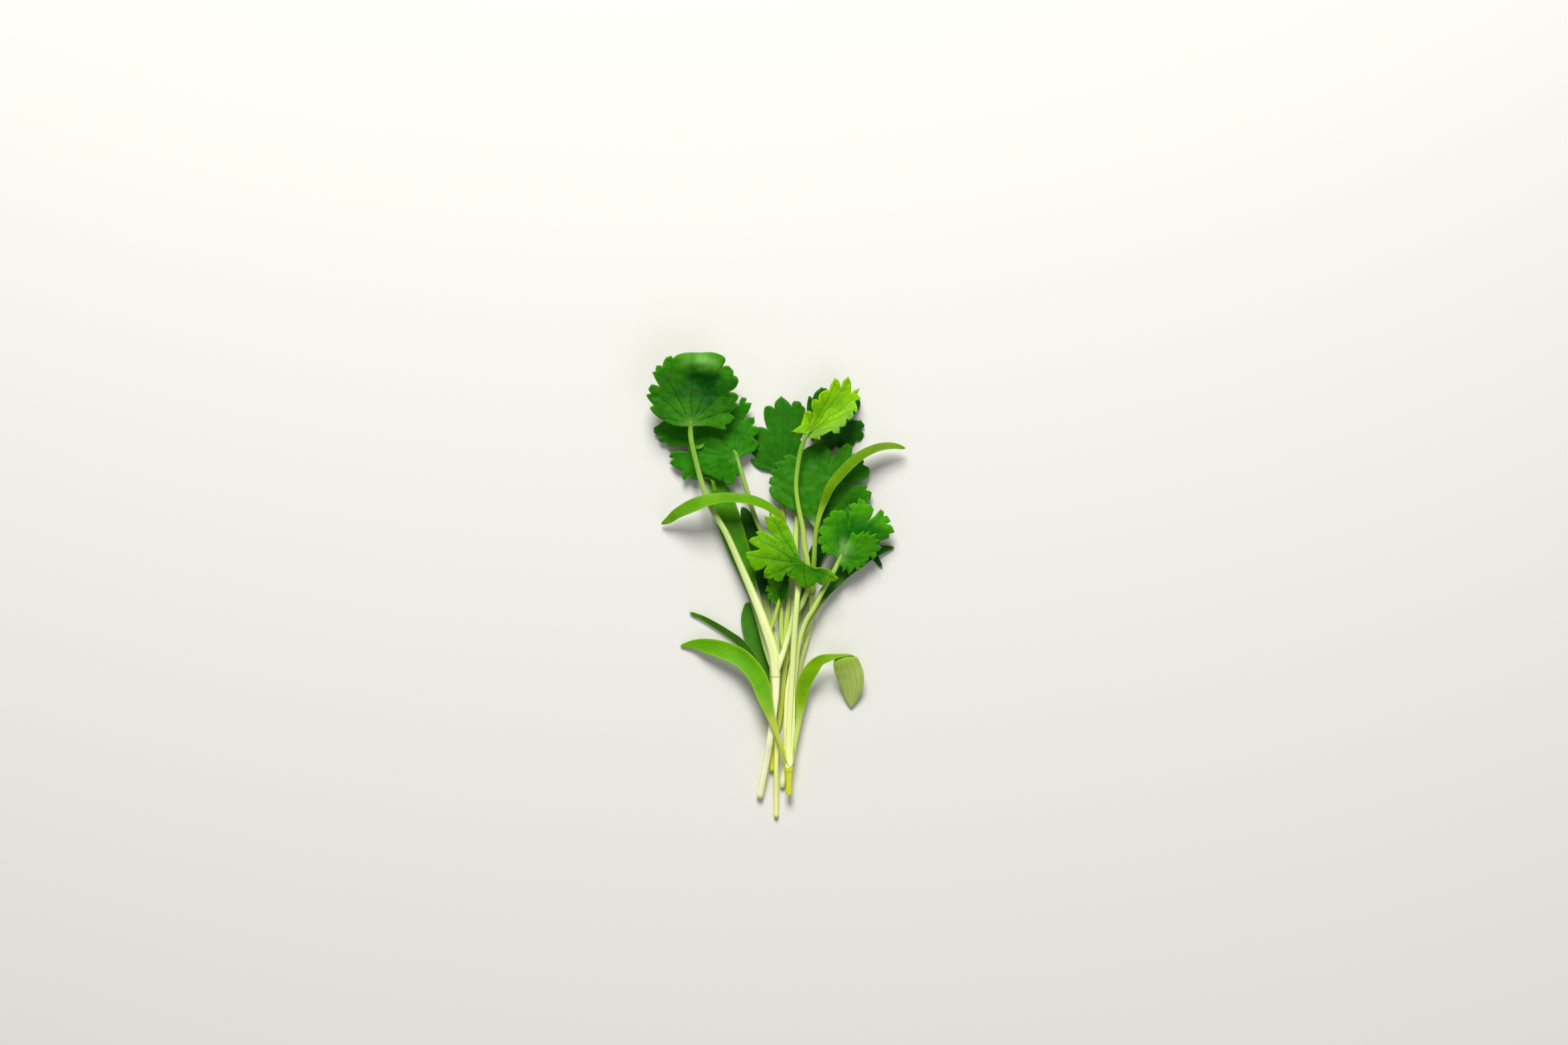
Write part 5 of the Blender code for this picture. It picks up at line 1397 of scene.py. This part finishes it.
add_stalk("seedling_left", "stem", LEFT_STEM, LEFT_PALE)
add_stalk("seedling_left", "fan_petiole", run_out(FAN_PETIOLE, FAN_POSTS, (-16.6, 37.0)), LEFT_PETIOLE)
add_stalk("seedling_left", "middle_petiole", MIDDLE_PETIOLE, LEFT_PETIOLE)
add_seed_leaf("seedling_left", "broad", BROAD_SEED_LEAF, BROAD_GREEN)
add_seed_leaf("seedling_left", "dark", DARK_SEED_LEAF, DARK_GREEN)
fan = leaf_mesh("fan", FAN_MARGIN, FAN_POSTS + [(-15.8, 40.6, 5.5)], FAN_LOBES, FAN_PAINTED_SHADING, painted_sheen_spots=FAN_PAINTED_SHEEN)
add_mesh("seedling_left", "fan_leaf", fan, FAN_GREEN)
middle = leaf_mesh("middle", MIDDLE_MARGIN, MIDDLE_POSTS, MIDDLE_LOBES, MIDDLE_PAINTED_SHADING, point=0.18)
add_mesh("seedling_left", "middle_leaf", middle, MIDDLE_GREEN)
add_tips("seedling_left", "fan", TIP_GREEN)
add_tips("seedling_left", "middle", TIP_BROWN)

# %% [markdown]
# The broad seed leaf ends in a curl: its tip rolls over and points back down.

# %% The curled end of the broad seed leaf
BROAD_CURL = [
    (-14.6, 21.0, 0.9, 0.3, 0), (-13.5, 21.3, 1.5, 0.5, 30), (-12.7, 20.7, 1.9, 0.6, 40),
    (-12.3, 19.4, 2.1, 0.6, 40), (-12.2, 17.8, 2.0, 0.2, 20),
]
BROAD_CURL_GREEN = strap_finish(
    "broad_curl_green", (80, 140, 6), (104, 160, 20), (70, 120, 10), (140, 185, 50), stalk=(96, 150, 16),
)
add_mesh(
    "seedling_left", "broad_seed_leaf_curl", strap_mesh("broad_curl", BROAD_CURL), BROAD_CURL_GREEN,
)

# %% [markdown]
# Petioles clasp the stem where they start. That place, the node, is a little thicker than the stem under it.

# %% The left node
NODE_RING = [
    (-0.3, -18.05, 3.0, 1.72), (-0.3, -17.9, 3.0, 1.93), (-0.3, -17.75, 3.0, 1.98),
    (-0.3, -17.62, 3.0, 1.88),
]
RING_GREEN = stalk_finish("node_ring_green", (236, 240, 176), (172, 190, 84), (206, 218, 120))
add_stalk("seedling_left", "node_ring", NODE_RING, RING_GREEN, step=0.08)

# %% [markdown]
# The right seedling's true leaves are the brightest and one of the darkest: a young one still folded along
# its middle, and a large smooth one that lies under the others. Its two seed leaves arch over the bunch and
# show their olive underside where they turn.

# %% The right seedling
FOLDED_LOBES = [
    (3.6, 30.3), (7.2, 36.1), (11.6, 40.1), (14.2, 40.0), (15.8, 36.9), (15.5, 34.4), (12.4, 30.9),
    (7.6, 28.7),
]
# Painted light and shade for the fold: lighter along the crease and on the upper half, darker on the narrow
# half below the crease.
FOLDED_PAINTED_SHADING = [
    (5.6, 29.1, 0.3), (8.5, 33.8, -0.1), (10.5, 37.5, 0.6), (13.5, 38.8, 0.5), (12.2, 35.4, -0.2),
    (9.6, 31.6, 0.9), (12.6, 33.8, 1.1), (14.9, 35.4, 0.9), (8.4, 29.4, -0.6), (12.2, 31.2, -0.5),
    (14.2, 33.4, -0.4),
]
FOLDED_CREASE = [(5.9, 29.3), (8.4, 30.7), (10.9, 32.4), (13.2, 34.0), (15.4, 35.0)]
# Painted sheen in streaks along the crease.
FOLDED_PAINTED_SHEEN = [
    (7.6, 29.5, 1.0, 0.5), (9.4, 30.1, 1.1, 0.7), (11.3, 31.0, 1.1, 0.7), (13.0, 32.3, 1.1, 0.7),
    (14.5, 33.7, 0.9, 0.7),
]
LARGE_LOBES = [
    (-1.2, 20.4), (2.2, 25.3), (8.3, 27.6), (13.9, 27.5), (17.6, 22.2), (18.1, 17.6), (16.4, 13.8),
]
LARGE_TINTS = [
    (7.5, 11.5, 0.2), (1.0, 20.0, 0.1), (7.0, 26.0, -0.1), (14.0, 25.5, 0.2), (17.0, 21.0, 0.1),
    (16.5, 15.5, 0.0),
]

THIN_PALE = stalk_finish("thin_stem", (244, 246, 190), (214, 230, 120), (205, 220, 120), (190, 185, 90))
FOLDED_GREEN_STALK = stalk_finish(
    "folded_petiole_green", (196, 222, 90), (108, 168, 14), (160, 202, 60), leaf=(96, 158, 10),
)
FOLDED_GREEN = blade_finish(
    "folded_leaf_green", (74, 140, 0), (132, 190, 0), (120, 165, 40), (56, 112, 0), (150, 195, 60),
    lines=0.7, painted_sheen=(122, 166, 62),
)
LARGE_GREEN = blade_finish(
    "large_leaf_green", (26, 98, 0), (56, 132, 0), (90, 130, 40), (18, 78, 0), lines=0.3,
)
OLIVE_GREEN = strap_finish(
    "right_seed_leaf_olive", (84, 124, 2), (106, 144, 4), (104, 140, 20), (112, 180, 40),
    stalk=(150, 190, 60),
)
ARCHED_GREEN = strap_finish(
    "arched_seed_leaf_green", (78, 138, 0), (106, 162, 6), (110, 142, 16), (130, 186, 50),
    stalk=(110, 144, 16), pale=0.5,
)

add_stalk("seedling_right", "stem", RIGHT_STEM, THIN_PALE)
FOLDED_JOINT = run_out(FOLDED_PETIOLE, FOLDED_POSTS, (8.5, 31.4))
add_stalk("seedling_right", "folded_petiole", FOLDED_JOINT, FOLDED_GREEN_STALK)
add_stalk("seedling_right", "large_petiole", LARGE_PETIOLE, FOLDED_GREEN_STALK)
add_seed_leaf("seedling_right", "right", RIGHT_SEED_LEAF, OLIVE_GREEN)
add_seed_leaf("seedling_right", "arched", ARCHED_SEED_LEAF, ARCHED_GREEN)
folded = leaf_mesh(
    "folded", FOLDED_MARGIN, FOLDED_POSTS, FOLDED_LOBES, FOLDED_PAINTED_SHADING, [(FOLDED_CREASE, 0.8, 0.5)],
    FOLDED_PAINTED_SHEEN, point=0.22,
)
add_mesh("seedling_right", "folded_leaf", folded, FOLDED_GREEN)
large = leaf_mesh("large", LARGE_MARGIN, LARGE_POSTS, LARGE_LOBES, LARGE_TINTS, swell=0.09)
add_mesh("seedling_right", "large_leaf", large, LARGE_GREEN)
add_tips("seedling_right", "folded", TIP_BROWN, {"Length": 0.45 * MM})
add_tips("seedling_right", "large", TIP_GREEN)

# %% [markdown]
# The stem of the right seedling swells to a green collar where its two petioles leave it.

# %% The right node
COLLAR = [(6.7, -1.9, 2.0, 1.2), (6.65, -1.4, 2.05, 1.75), (6.6, -0.9, 2.1, 1.9), (6.6, -0.3, 2.3, 1.7)]
COLLAR_GREEN = stalk_finish("node_collar_green", (150, 186, 50), (176, 206, 80), (130, 170, 30))
add_stalk("seedling_right", "node_collar", COLLAR, COLLAR_GREEN)

# %% [markdown]
# The front seedling was cut just under its node, so only a short yellow-green stub is left. Of its seed
# leaves one spreads to the left. The other turns over on the right: its upper side runs out along the fold,
# and its pale veined underside hangs from it. The front lobe of the triple leaf lies over the two others, so
# it is a blade of its own from the same base.

# %% The front seedling
BACK_LOBES = [(6.2, 36.8), (8.8, 38.4), (12.6, 38.2), (16.0, 35.8), (16.9, 31.4), (16.4, 28.6)]
TRIPLE_LOBES = [(9.0, 6.7), (8.2, 9.4), (11.3, 14.6), (16.3, 16.5), (20.9, 14.2), (22.4, 11.0)]
# Painted shadow on the back lobes along the edge of the front lobe, which lies over them, and painted light
# elsewhere.
TRIPLE_PAINTED_SHADING = [
    (12.1, 5.0, 0.4), (9.5, 9.0, 0.5), (12.0, 13.0, 0.0), (16.0, 14.0, 0.6), (20.5, 12.0, 0.4),
    (14.6, 11.6, -1.1), (16.6, 11.2, -1.1), (19.2, 10.6, -0.8),
]
# Painted light that makes the front lobe brighter than the lobes it lies over.
TRIPLE_FRONT_PAINTED_LIGHT = [
    (13.0, 6.0, 0.4), (15.0, 9.6, 0.8), (19.0, 9.4, 0.9), (19.0, 6.0, 0.5), (15.0, 4.0, 0.3),
]
TURNED_UNDER = [
    (13.1, -13.75, 3.9, 3.2, 180), (13.15, -14.15, 4.35, 4.2, 180), (13.35, -14.9, 4.3, 5.0, 178),
    (13.75, -16.1, 3.75, 5.35, 176), (14.25, -17.6, 2.95, 5.35, 176), (14.6, -19.8, 2.0, 4.5, 178),
    (14.55, -22.0, 1.15, 2.7, 180), (14.45, -24.0, 0.5, 0.4, 180),
]
TRIPLE_FRONT = [
    [(12.6, 5.1), (13.3, 7.4), (14.1, 9.2), (14.6, 10.4)],
    [(15.6, 9.8), (16.7, 10.5)],
    [(16.9, 10.0), (17.8, 10.4)],
    [(17.9, 9.7), (19.2, 10.0)],
    [(19.0, 9.1), (19.8, 8.8)],
    [(19.4, 8.1), (20.1, 7.4), (19.9, 6.8)],
    [(19.3, 6.7), (19.4, 5.9), (18.8, 5.3)],
    [(18.1, 5.8), (17.5, 4.7)],
    [(17.1, 5.1), (17.2, 4.2), (16.8, 3.7)],
    [(16.3, 4.1), (15.9, 3.0)],
    [(15.2, 3.6), (14.1, 2.5)],
    [(13.6, 3.4), (12.9, 3.0)],
    [(12.7, 3.7), (12.2, 4.2)],
]
TRIPLE_FRONT_POSTS = [
    (12.6, 5.0, 4.35), (14.7, 10.2, 5.2), (19.2, 9.9, 4.8), (20.0, 7.2, 3.7), (19.0, 5.5, 3.4),
    (16.0, 3.3, 3.5), (14.1, 2.6, 3.9), (16.5, 7.0, 4.1),
]
TRIPLE_FRONT_LOBES = [(16.7, 10.4), (19.2, 9.8), (20.0, 7.2), (18.8, 5.4), (16.0, 3.2), (14.1, 2.7)]

STUB = stalk_finish("front_stub", (208, 210, 0), (222, 230, 40), (190, 204, 6), (150, 165, 10))
FRONT_PALE = stalk_finish(
    "front_petiole_pale", (250, 253, 176), (150, 198, 44), (222, 238, 120), leaf=(120, 176, 60),
)
BACK_GREEN = blade_finish("back_leaf_green", (12, 74, 0), (34, 108, 0), (80, 120, 40), (8, 56, 0), lines=0.3)
# Its star colour near the base is partly the pale foot of the veins and partly painted sheen.
TRIPLE_GREEN = blade_finish(
    "triple_leaf_green", (22, 106, 0), (68, 150, 2), (90, 140, 40), (14, 82, 0), (110, 168, 90),
    lines=0.45,
)
LEFT_BRIGHT = strap_finish(
    "left_seed_leaf_green", (80, 148, 0), (108, 176, 0), (125, 165, 40), (170, 208, 50),
    stalk=(212, 222, 92), pale=0.52,
)
TURNED_GREEN = strap_finish(
    "turned_seed_leaf_green", (92, 146, 0), (134, 180, 0), (150, 180, 60), (164, 200, 40),
    stalk=(206, 222, 110), pale=0.3,
)
TURNED_PALE = strap_finish(
    "turned_seed_leaf_pale", (88, 128, 20), (118, 172, 0), (184, 206, 104), (178, 202, 96),
    stalk=(120, 158, 10), pale=0.34,
)

add_stalk("seedling_front", "stem", FRONT_STEM, STUB)
add_stalk("seedling_front", "front_petiole", FRONT_PETIOLE, FRONT_PALE)
SIDE_JOINT = run_out(SIDE_PETIOLE, TRIPLE_POSTS, (14.0, 10.2))
add_stalk("seedling_front", "side_petiole", SIDE_JOINT, FRONT_PALE)
add_seed_leaf("seedling_front", "left", LEFT_SEED_LEAF, LEFT_BRIGHT)
add_seed_leaf("seedling_front", "turned", TURNED_SEED_LEAF, TURNED_GREEN, least=0.2)
add_mesh(
    "seedling_front", "turned_seed_leaf_end", strap_mesh("turned_end", TURNED_UNDER), TURNED_PALE,
)
back = leaf_mesh("back", BACK_MARGIN, BACK_POSTS, BACK_LOBES)
add_mesh("seedling_front", "back_leaf", back, BACK_GREEN)
# Painted sheen at the middle of the triple leaf, near its base.
TRIPLE_PAINTED_SHEEN = [(12.9, 6.6, 0.9, 0.75), (13.0, 8.4, 0.9, 0.6), (14.2, 7.4, 0.9, 0.35)]
triple = leaf_mesh(
    "triple", TRIPLE_MARGIN, TRIPLE_POSTS, TRIPLE_LOBES, TRIPLE_PAINTED_SHADING, painted_sheen_spots=TRIPLE_PAINTED_SHEEN, point=0.2,
)
add_mesh("seedling_front", "triple_leaf", triple, TRIPLE_GREEN)
lobe = leaf_mesh(
    "triple_lobe", TRIPLE_FRONT, TRIPLE_FRONT_POSTS, TRIPLE_FRONT_LOBES, TRIPLE_FRONT_PAINTED_LIGHT,
    painted_sheen_spots=TRIPLE_PAINTED_SHEEN, point=0.2,
)
add_mesh("seedling_front", "triple_leaf_front_lobe", lobe, TRIPLE_GREEN)
add_tips("seedling_front", "triple", TIP_GREEN)
add_tips("seedling_front", "triple_lobe", TIP_GREEN, name="triple_leaf_front_tips")
add_tips("seedling_front", "back", TIP_GREEN)

# %% [markdown]
# The longest petiole is winged at its foot, where it once wrapped the younger parts.

# %% The front node
WING = [
    (2.3, -35.6, 2.2, 1.5, 0), (2.25, -33.4, 2.3, 1.75, 0), (2.3, -31.0, 2.4, 1.9, 0),
    (2.4, -28.4, 2.6, 2.15, 0), (2.4, -26.0, 2.8, 2.2, 0), (2.45, -22.6, 3.2, 2.1, 0),
    (2.6, -19.6, 3.5, 1.8, 0), (2.85, -16.8, 3.8, 1.3, 0), (3.1, -14.0, 4.1, 0.9, 0),
]
FRONT_LEFT_EDGE = [
    (2.5, -35.5, 2.9, 0.2), (2.0, -34.5, 3.0, 0.3), (1.45, -33.3, 3.2, 0.34), (1.1, -32.2, 3.3, 0.16),
]
FRONT_RIGHT_EDGE = [
    (2.5, -35.5, 2.9, 0.2), (2.95, -34.7, 2.95, 0.3), (3.2, -33.4, 3.0, 0.3), (3.25, -31.8, 2.9, 0.14),
]
FRONT_RING = [
    (2.3, -36.9, 2.05, 1.25), (2.3, -36.4, 2.1, 1.5), (2.3, -35.9, 2.1, 1.74), (2.3, -35.4, 2.15, 1.7),
]
WING_PALE = strap_finish(
    "petiole_wing_pale", (226, 240, 140), (246, 252, 190), (215, 230, 130), (206, 228, 96),
    stalk=(236, 246, 170),
)
add_mesh("seedling_front", "petiole_wing", strap_mesh("wing", WING), WING_PALE)
add_stalk("seedling_front", "node_ring", FRONT_RING, STUB)
add_stalk("seedling_front", "node_edge_left", FRONT_LEFT_EDGE, FRONT_PALE)
add_stalk("seedling_front", "node_edge_right", FRONT_RIGHT_EDGE, FRONT_PALE)

# %% [markdown]
# The low seedling lies right on the floor, under all the others. Only parts of its leaves show, and they are
# the deepest green because little light reaches them.

# %% The low seedling
FLAT_LOBES = [(-4.9, 24.6), (-4.3, 29.6), (-2.0, 35.0), (1.2, 36.7), (5.2, 34.4), (4.8, 28.6)]
UNDER_LOBES = [
    (-9.8, 20.1), (-14.2, 21.8), (-18.2, 21.2), (-20.8, 25.6), (-23.8, 30.2), (-14.0, 33.6),
    (-6.6, 36.4), (-4.6, 32.4), (-3.9, 28.0),
]

LOW_PALE = stalk_finish("low_stem_green", (224, 220, 60), (190, 212, 96), (186, 204, 50), (150, 160, 30))
LOW_PETIOLE = stalk_finish("low_petiole_green", (200, 220, 100), (140, 180, 40), (160, 190, 60))
UNDER_STALK = stalk_finish(
    "under_petiole_green", (200, 220, 100), (140, 176, 70), (170, 200, 90), leaf=(90, 150, 50),
)
FLAT_GREEN = blade_finish(
    "flat_leaf_green", (20, 90, 0), (48, 124, 0), (80, 125, 40), (14, 68, 0), lines=0.28,
)
UNDER_GREEN = blade_finish(
    "under_leaf_green", (20, 96, 0), (54, 140, 0), (90, 140, 40), (10, 72, 0), (70, 146, 24), lines=0.28,
)
SIDE_GREEN = strap_finish("side_seed_leaf_green", (20, 80, 0), (40, 104, 0), (90, 125, 40), (112, 116, 16))

add_stalk("seedling_low", "stem", LOW_STEM, LOW_PALE)
add_stalk("seedling_low", "flat_petiole", FLAT_PETIOLE, LOW_PETIOLE)
UNDER_JOINT = run_out(UNDER_PETIOLE, UNDER_POSTS, (-11.0, 30.0))
add_stalk("seedling_low", "under_petiole", UNDER_JOINT, UNDER_STALK)
add_seed_leaf("seedling_low", "side", SIDE_SEED_LEAF, SIDE_GREEN)
add_seed_leaf("seedling_low", "hidden", HIDDEN_SEED_LEAF, DARK_GREEN)
flat = leaf_mesh("flat", FLAT_MARGIN, FLAT_POSTS, FLAT_LOBES, ruffle=0.1)
add_mesh("seedling_low", "flat_leaf", flat, FLAT_GREEN)
under = leaf_mesh("under", UNDER_MARGIN, UNDER_POSTS, UNDER_LOBES)
add_mesh("seedling_low", "under_leaf", under, UNDER_GREEN)
add_tips("seedling_low", "flat", TIP_GREEN)
add_tips("seedling_low", "under", TIP_GREEN)

# %% [markdown]
# Beside its slot the leaf under the fan leaf curls up and shows a little of its paler underside.

# %% The turned edge of the leaf under the fan leaf
CURL = [
    (-16.6, 26.6, 2.7, 0.2, 0), (-16.0, 26.9, 2.9, 0.7, 20), (-15.2, 27.0, 3.0, 0.9, 25),
    (-14.6, 27.4, 3.0, 0.7, 25), (-14.1, 27.8, 2.9, 0.2, 10),
]
CURL_PALE = strap_finish(
    "curled_edge_pale", (84, 146, 20), (110, 165, 40), (100, 140, 50), (120, 175, 60),
    stalk=(90, 150, 24),
)
add_mesh("seedling_low", "under_leaf_curl", strap_mesh("curl", CURL), CURL_PALE)

# %% [markdown]
# The small seedling has the thinnest and longest stem. Its only true leaf is still folded, with one half
# painted bright over one painted dark, as light and shade, and its seed leaves lie low on the left.

# %% The small seedling
SMALL_LOBES = [(-1.6, -1.9), (-1.8, 0.2), (-0.4, 2.1), (2.0, 1.9), (1.9, -1.0)]
# Painted light on one half of the folded leaf and painted shade on the other.
SMALL_PAINTED_SHADING = [(-1.6, -1.6, 0.6), (-1.5, 1.4, 0.6), (0.2, -0.6, 0.2), (1.6, 0.6, -0.9), (1.6, -1.6, -0.9)]
SMALL_CREASE = [(0.2, -3.8), (0.5, -1.4), (1.0, 2.1)]

SMALL_PALE = stalk_finish(
    "small_stem_pale", (250, 250, 160), (232, 244, 130), (226, 238, 110), (150, 180, 40),
)
SMALL_STALK = stalk_finish("small_petiole_green", (225, 240, 120), (170, 205, 60), (180, 210, 70))
SMALL_GREEN = blade_finish(
    "small_leaf_green", (14, 76, 0), (70, 150, 2), (80, 130, 40), (14, 70, 0), lines=0.35,
)
CREASED_GREEN = strap_finish(
    "creased_seed_leaf_green", (58, 124, 0), (90, 156, 0), (80, 125, 24), (120, 176, 10),
    stalk=(96, 130, 10),
)
ROUND_GREEN = strap_finish(
    "round_seed_leaf_green", (46, 108, 8), (76, 134, 28), (80, 125, 40), (96, 146, 60),
)

add_stalk("seedling_small", "stem", SMALL_STEM, SMALL_PALE)
SMALL_JOINT = run_out(SMALL_PETIOLE, SMALL_POSTS, (0.5, -1.4), 0.9)
add_stalk("seedling_small", "small_petiole", SMALL_JOINT, SMALL_STALK)
add_seed_leaf("seedling_small", "creased", CREASED_SEED_LEAF, CREASED_GREEN)
add_seed_leaf("seedling_small", "round", ROUND_SEED_LEAF, ROUND_GREEN)
small = leaf_mesh(
    "small", SMALL_MARGIN, SMALL_POSTS, SMALL_LOBES, SMALL_PAINTED_SHADING, [(SMALL_CREASE, 0.5, 0.4)], point=0.2,
)
add_mesh("seedling_small", "small_leaf", small, SMALL_GREEN)
add_tips("seedling_small", "small", TIP_GREEN)

# %% [markdown]
# The bunch lies on a plain pale floor under one large soft light from behind and above, with an even grey
# surround to fill the shadows. Soft light keeps the shadows between the leaves open, as on a cloudy day.

# %% Floor, light and colour
def add_floor():
    """Lay a wide pale floor under the bunch."""
    side = 3.0
    mesh = bpy.data.meshes.new("floor")
    mesh.from_pydata([(-side, -side, 0), (side, -side, 0), (side, side, 0), (-side, side, 0)], [],
                     [(0, 1, 2, 3)])
    material, wiring = new_material("floor_paint")
    inputs = {"Base Color": colour(226, 224, 218), "Roughness": 0.75}
    mesh.materials.append(finished("floor_paint", wiring, material, inputs))
    floor = placed("floor", mesh)


def add_light(name, place, width, watts, tone):
    """Add a square soft light that faces the bunch."""
    data = bpy.data.lights.new(name, "AREA")
    data.shape = "SQUARE"
    data.size = width
    data.energy = watts
    data.color = tone
    light = placed(name, data)
    light.location = Vector(place)
    light.rotation_euler = (-Vector(place)).to_track_quat("-Z", "Y").to_euler()


add_floor()
add_light("window", (-0.05, 0.58, 0.58), width=0.36, watts=8.4, tone=(1.0, 0.99, 0.96))
add_light("front_fill", (0.4, -0.5, 0.7), width=0.6, watts=1.2, tone=(0.97, 0.99, 1.0))
world = bpy.data.worlds.new("surround")
world.use_nodes = True
surround = world.node_tree.nodes["Background"]
surround.inputs["Color"].default_value = (0.95, 0.98, 1.0, 1.0)
surround.inputs["Strength"].default_value = 0.23
bpy.context.scene.world = world
bpy.context.scene.view_settings.view_transform = "Standard"
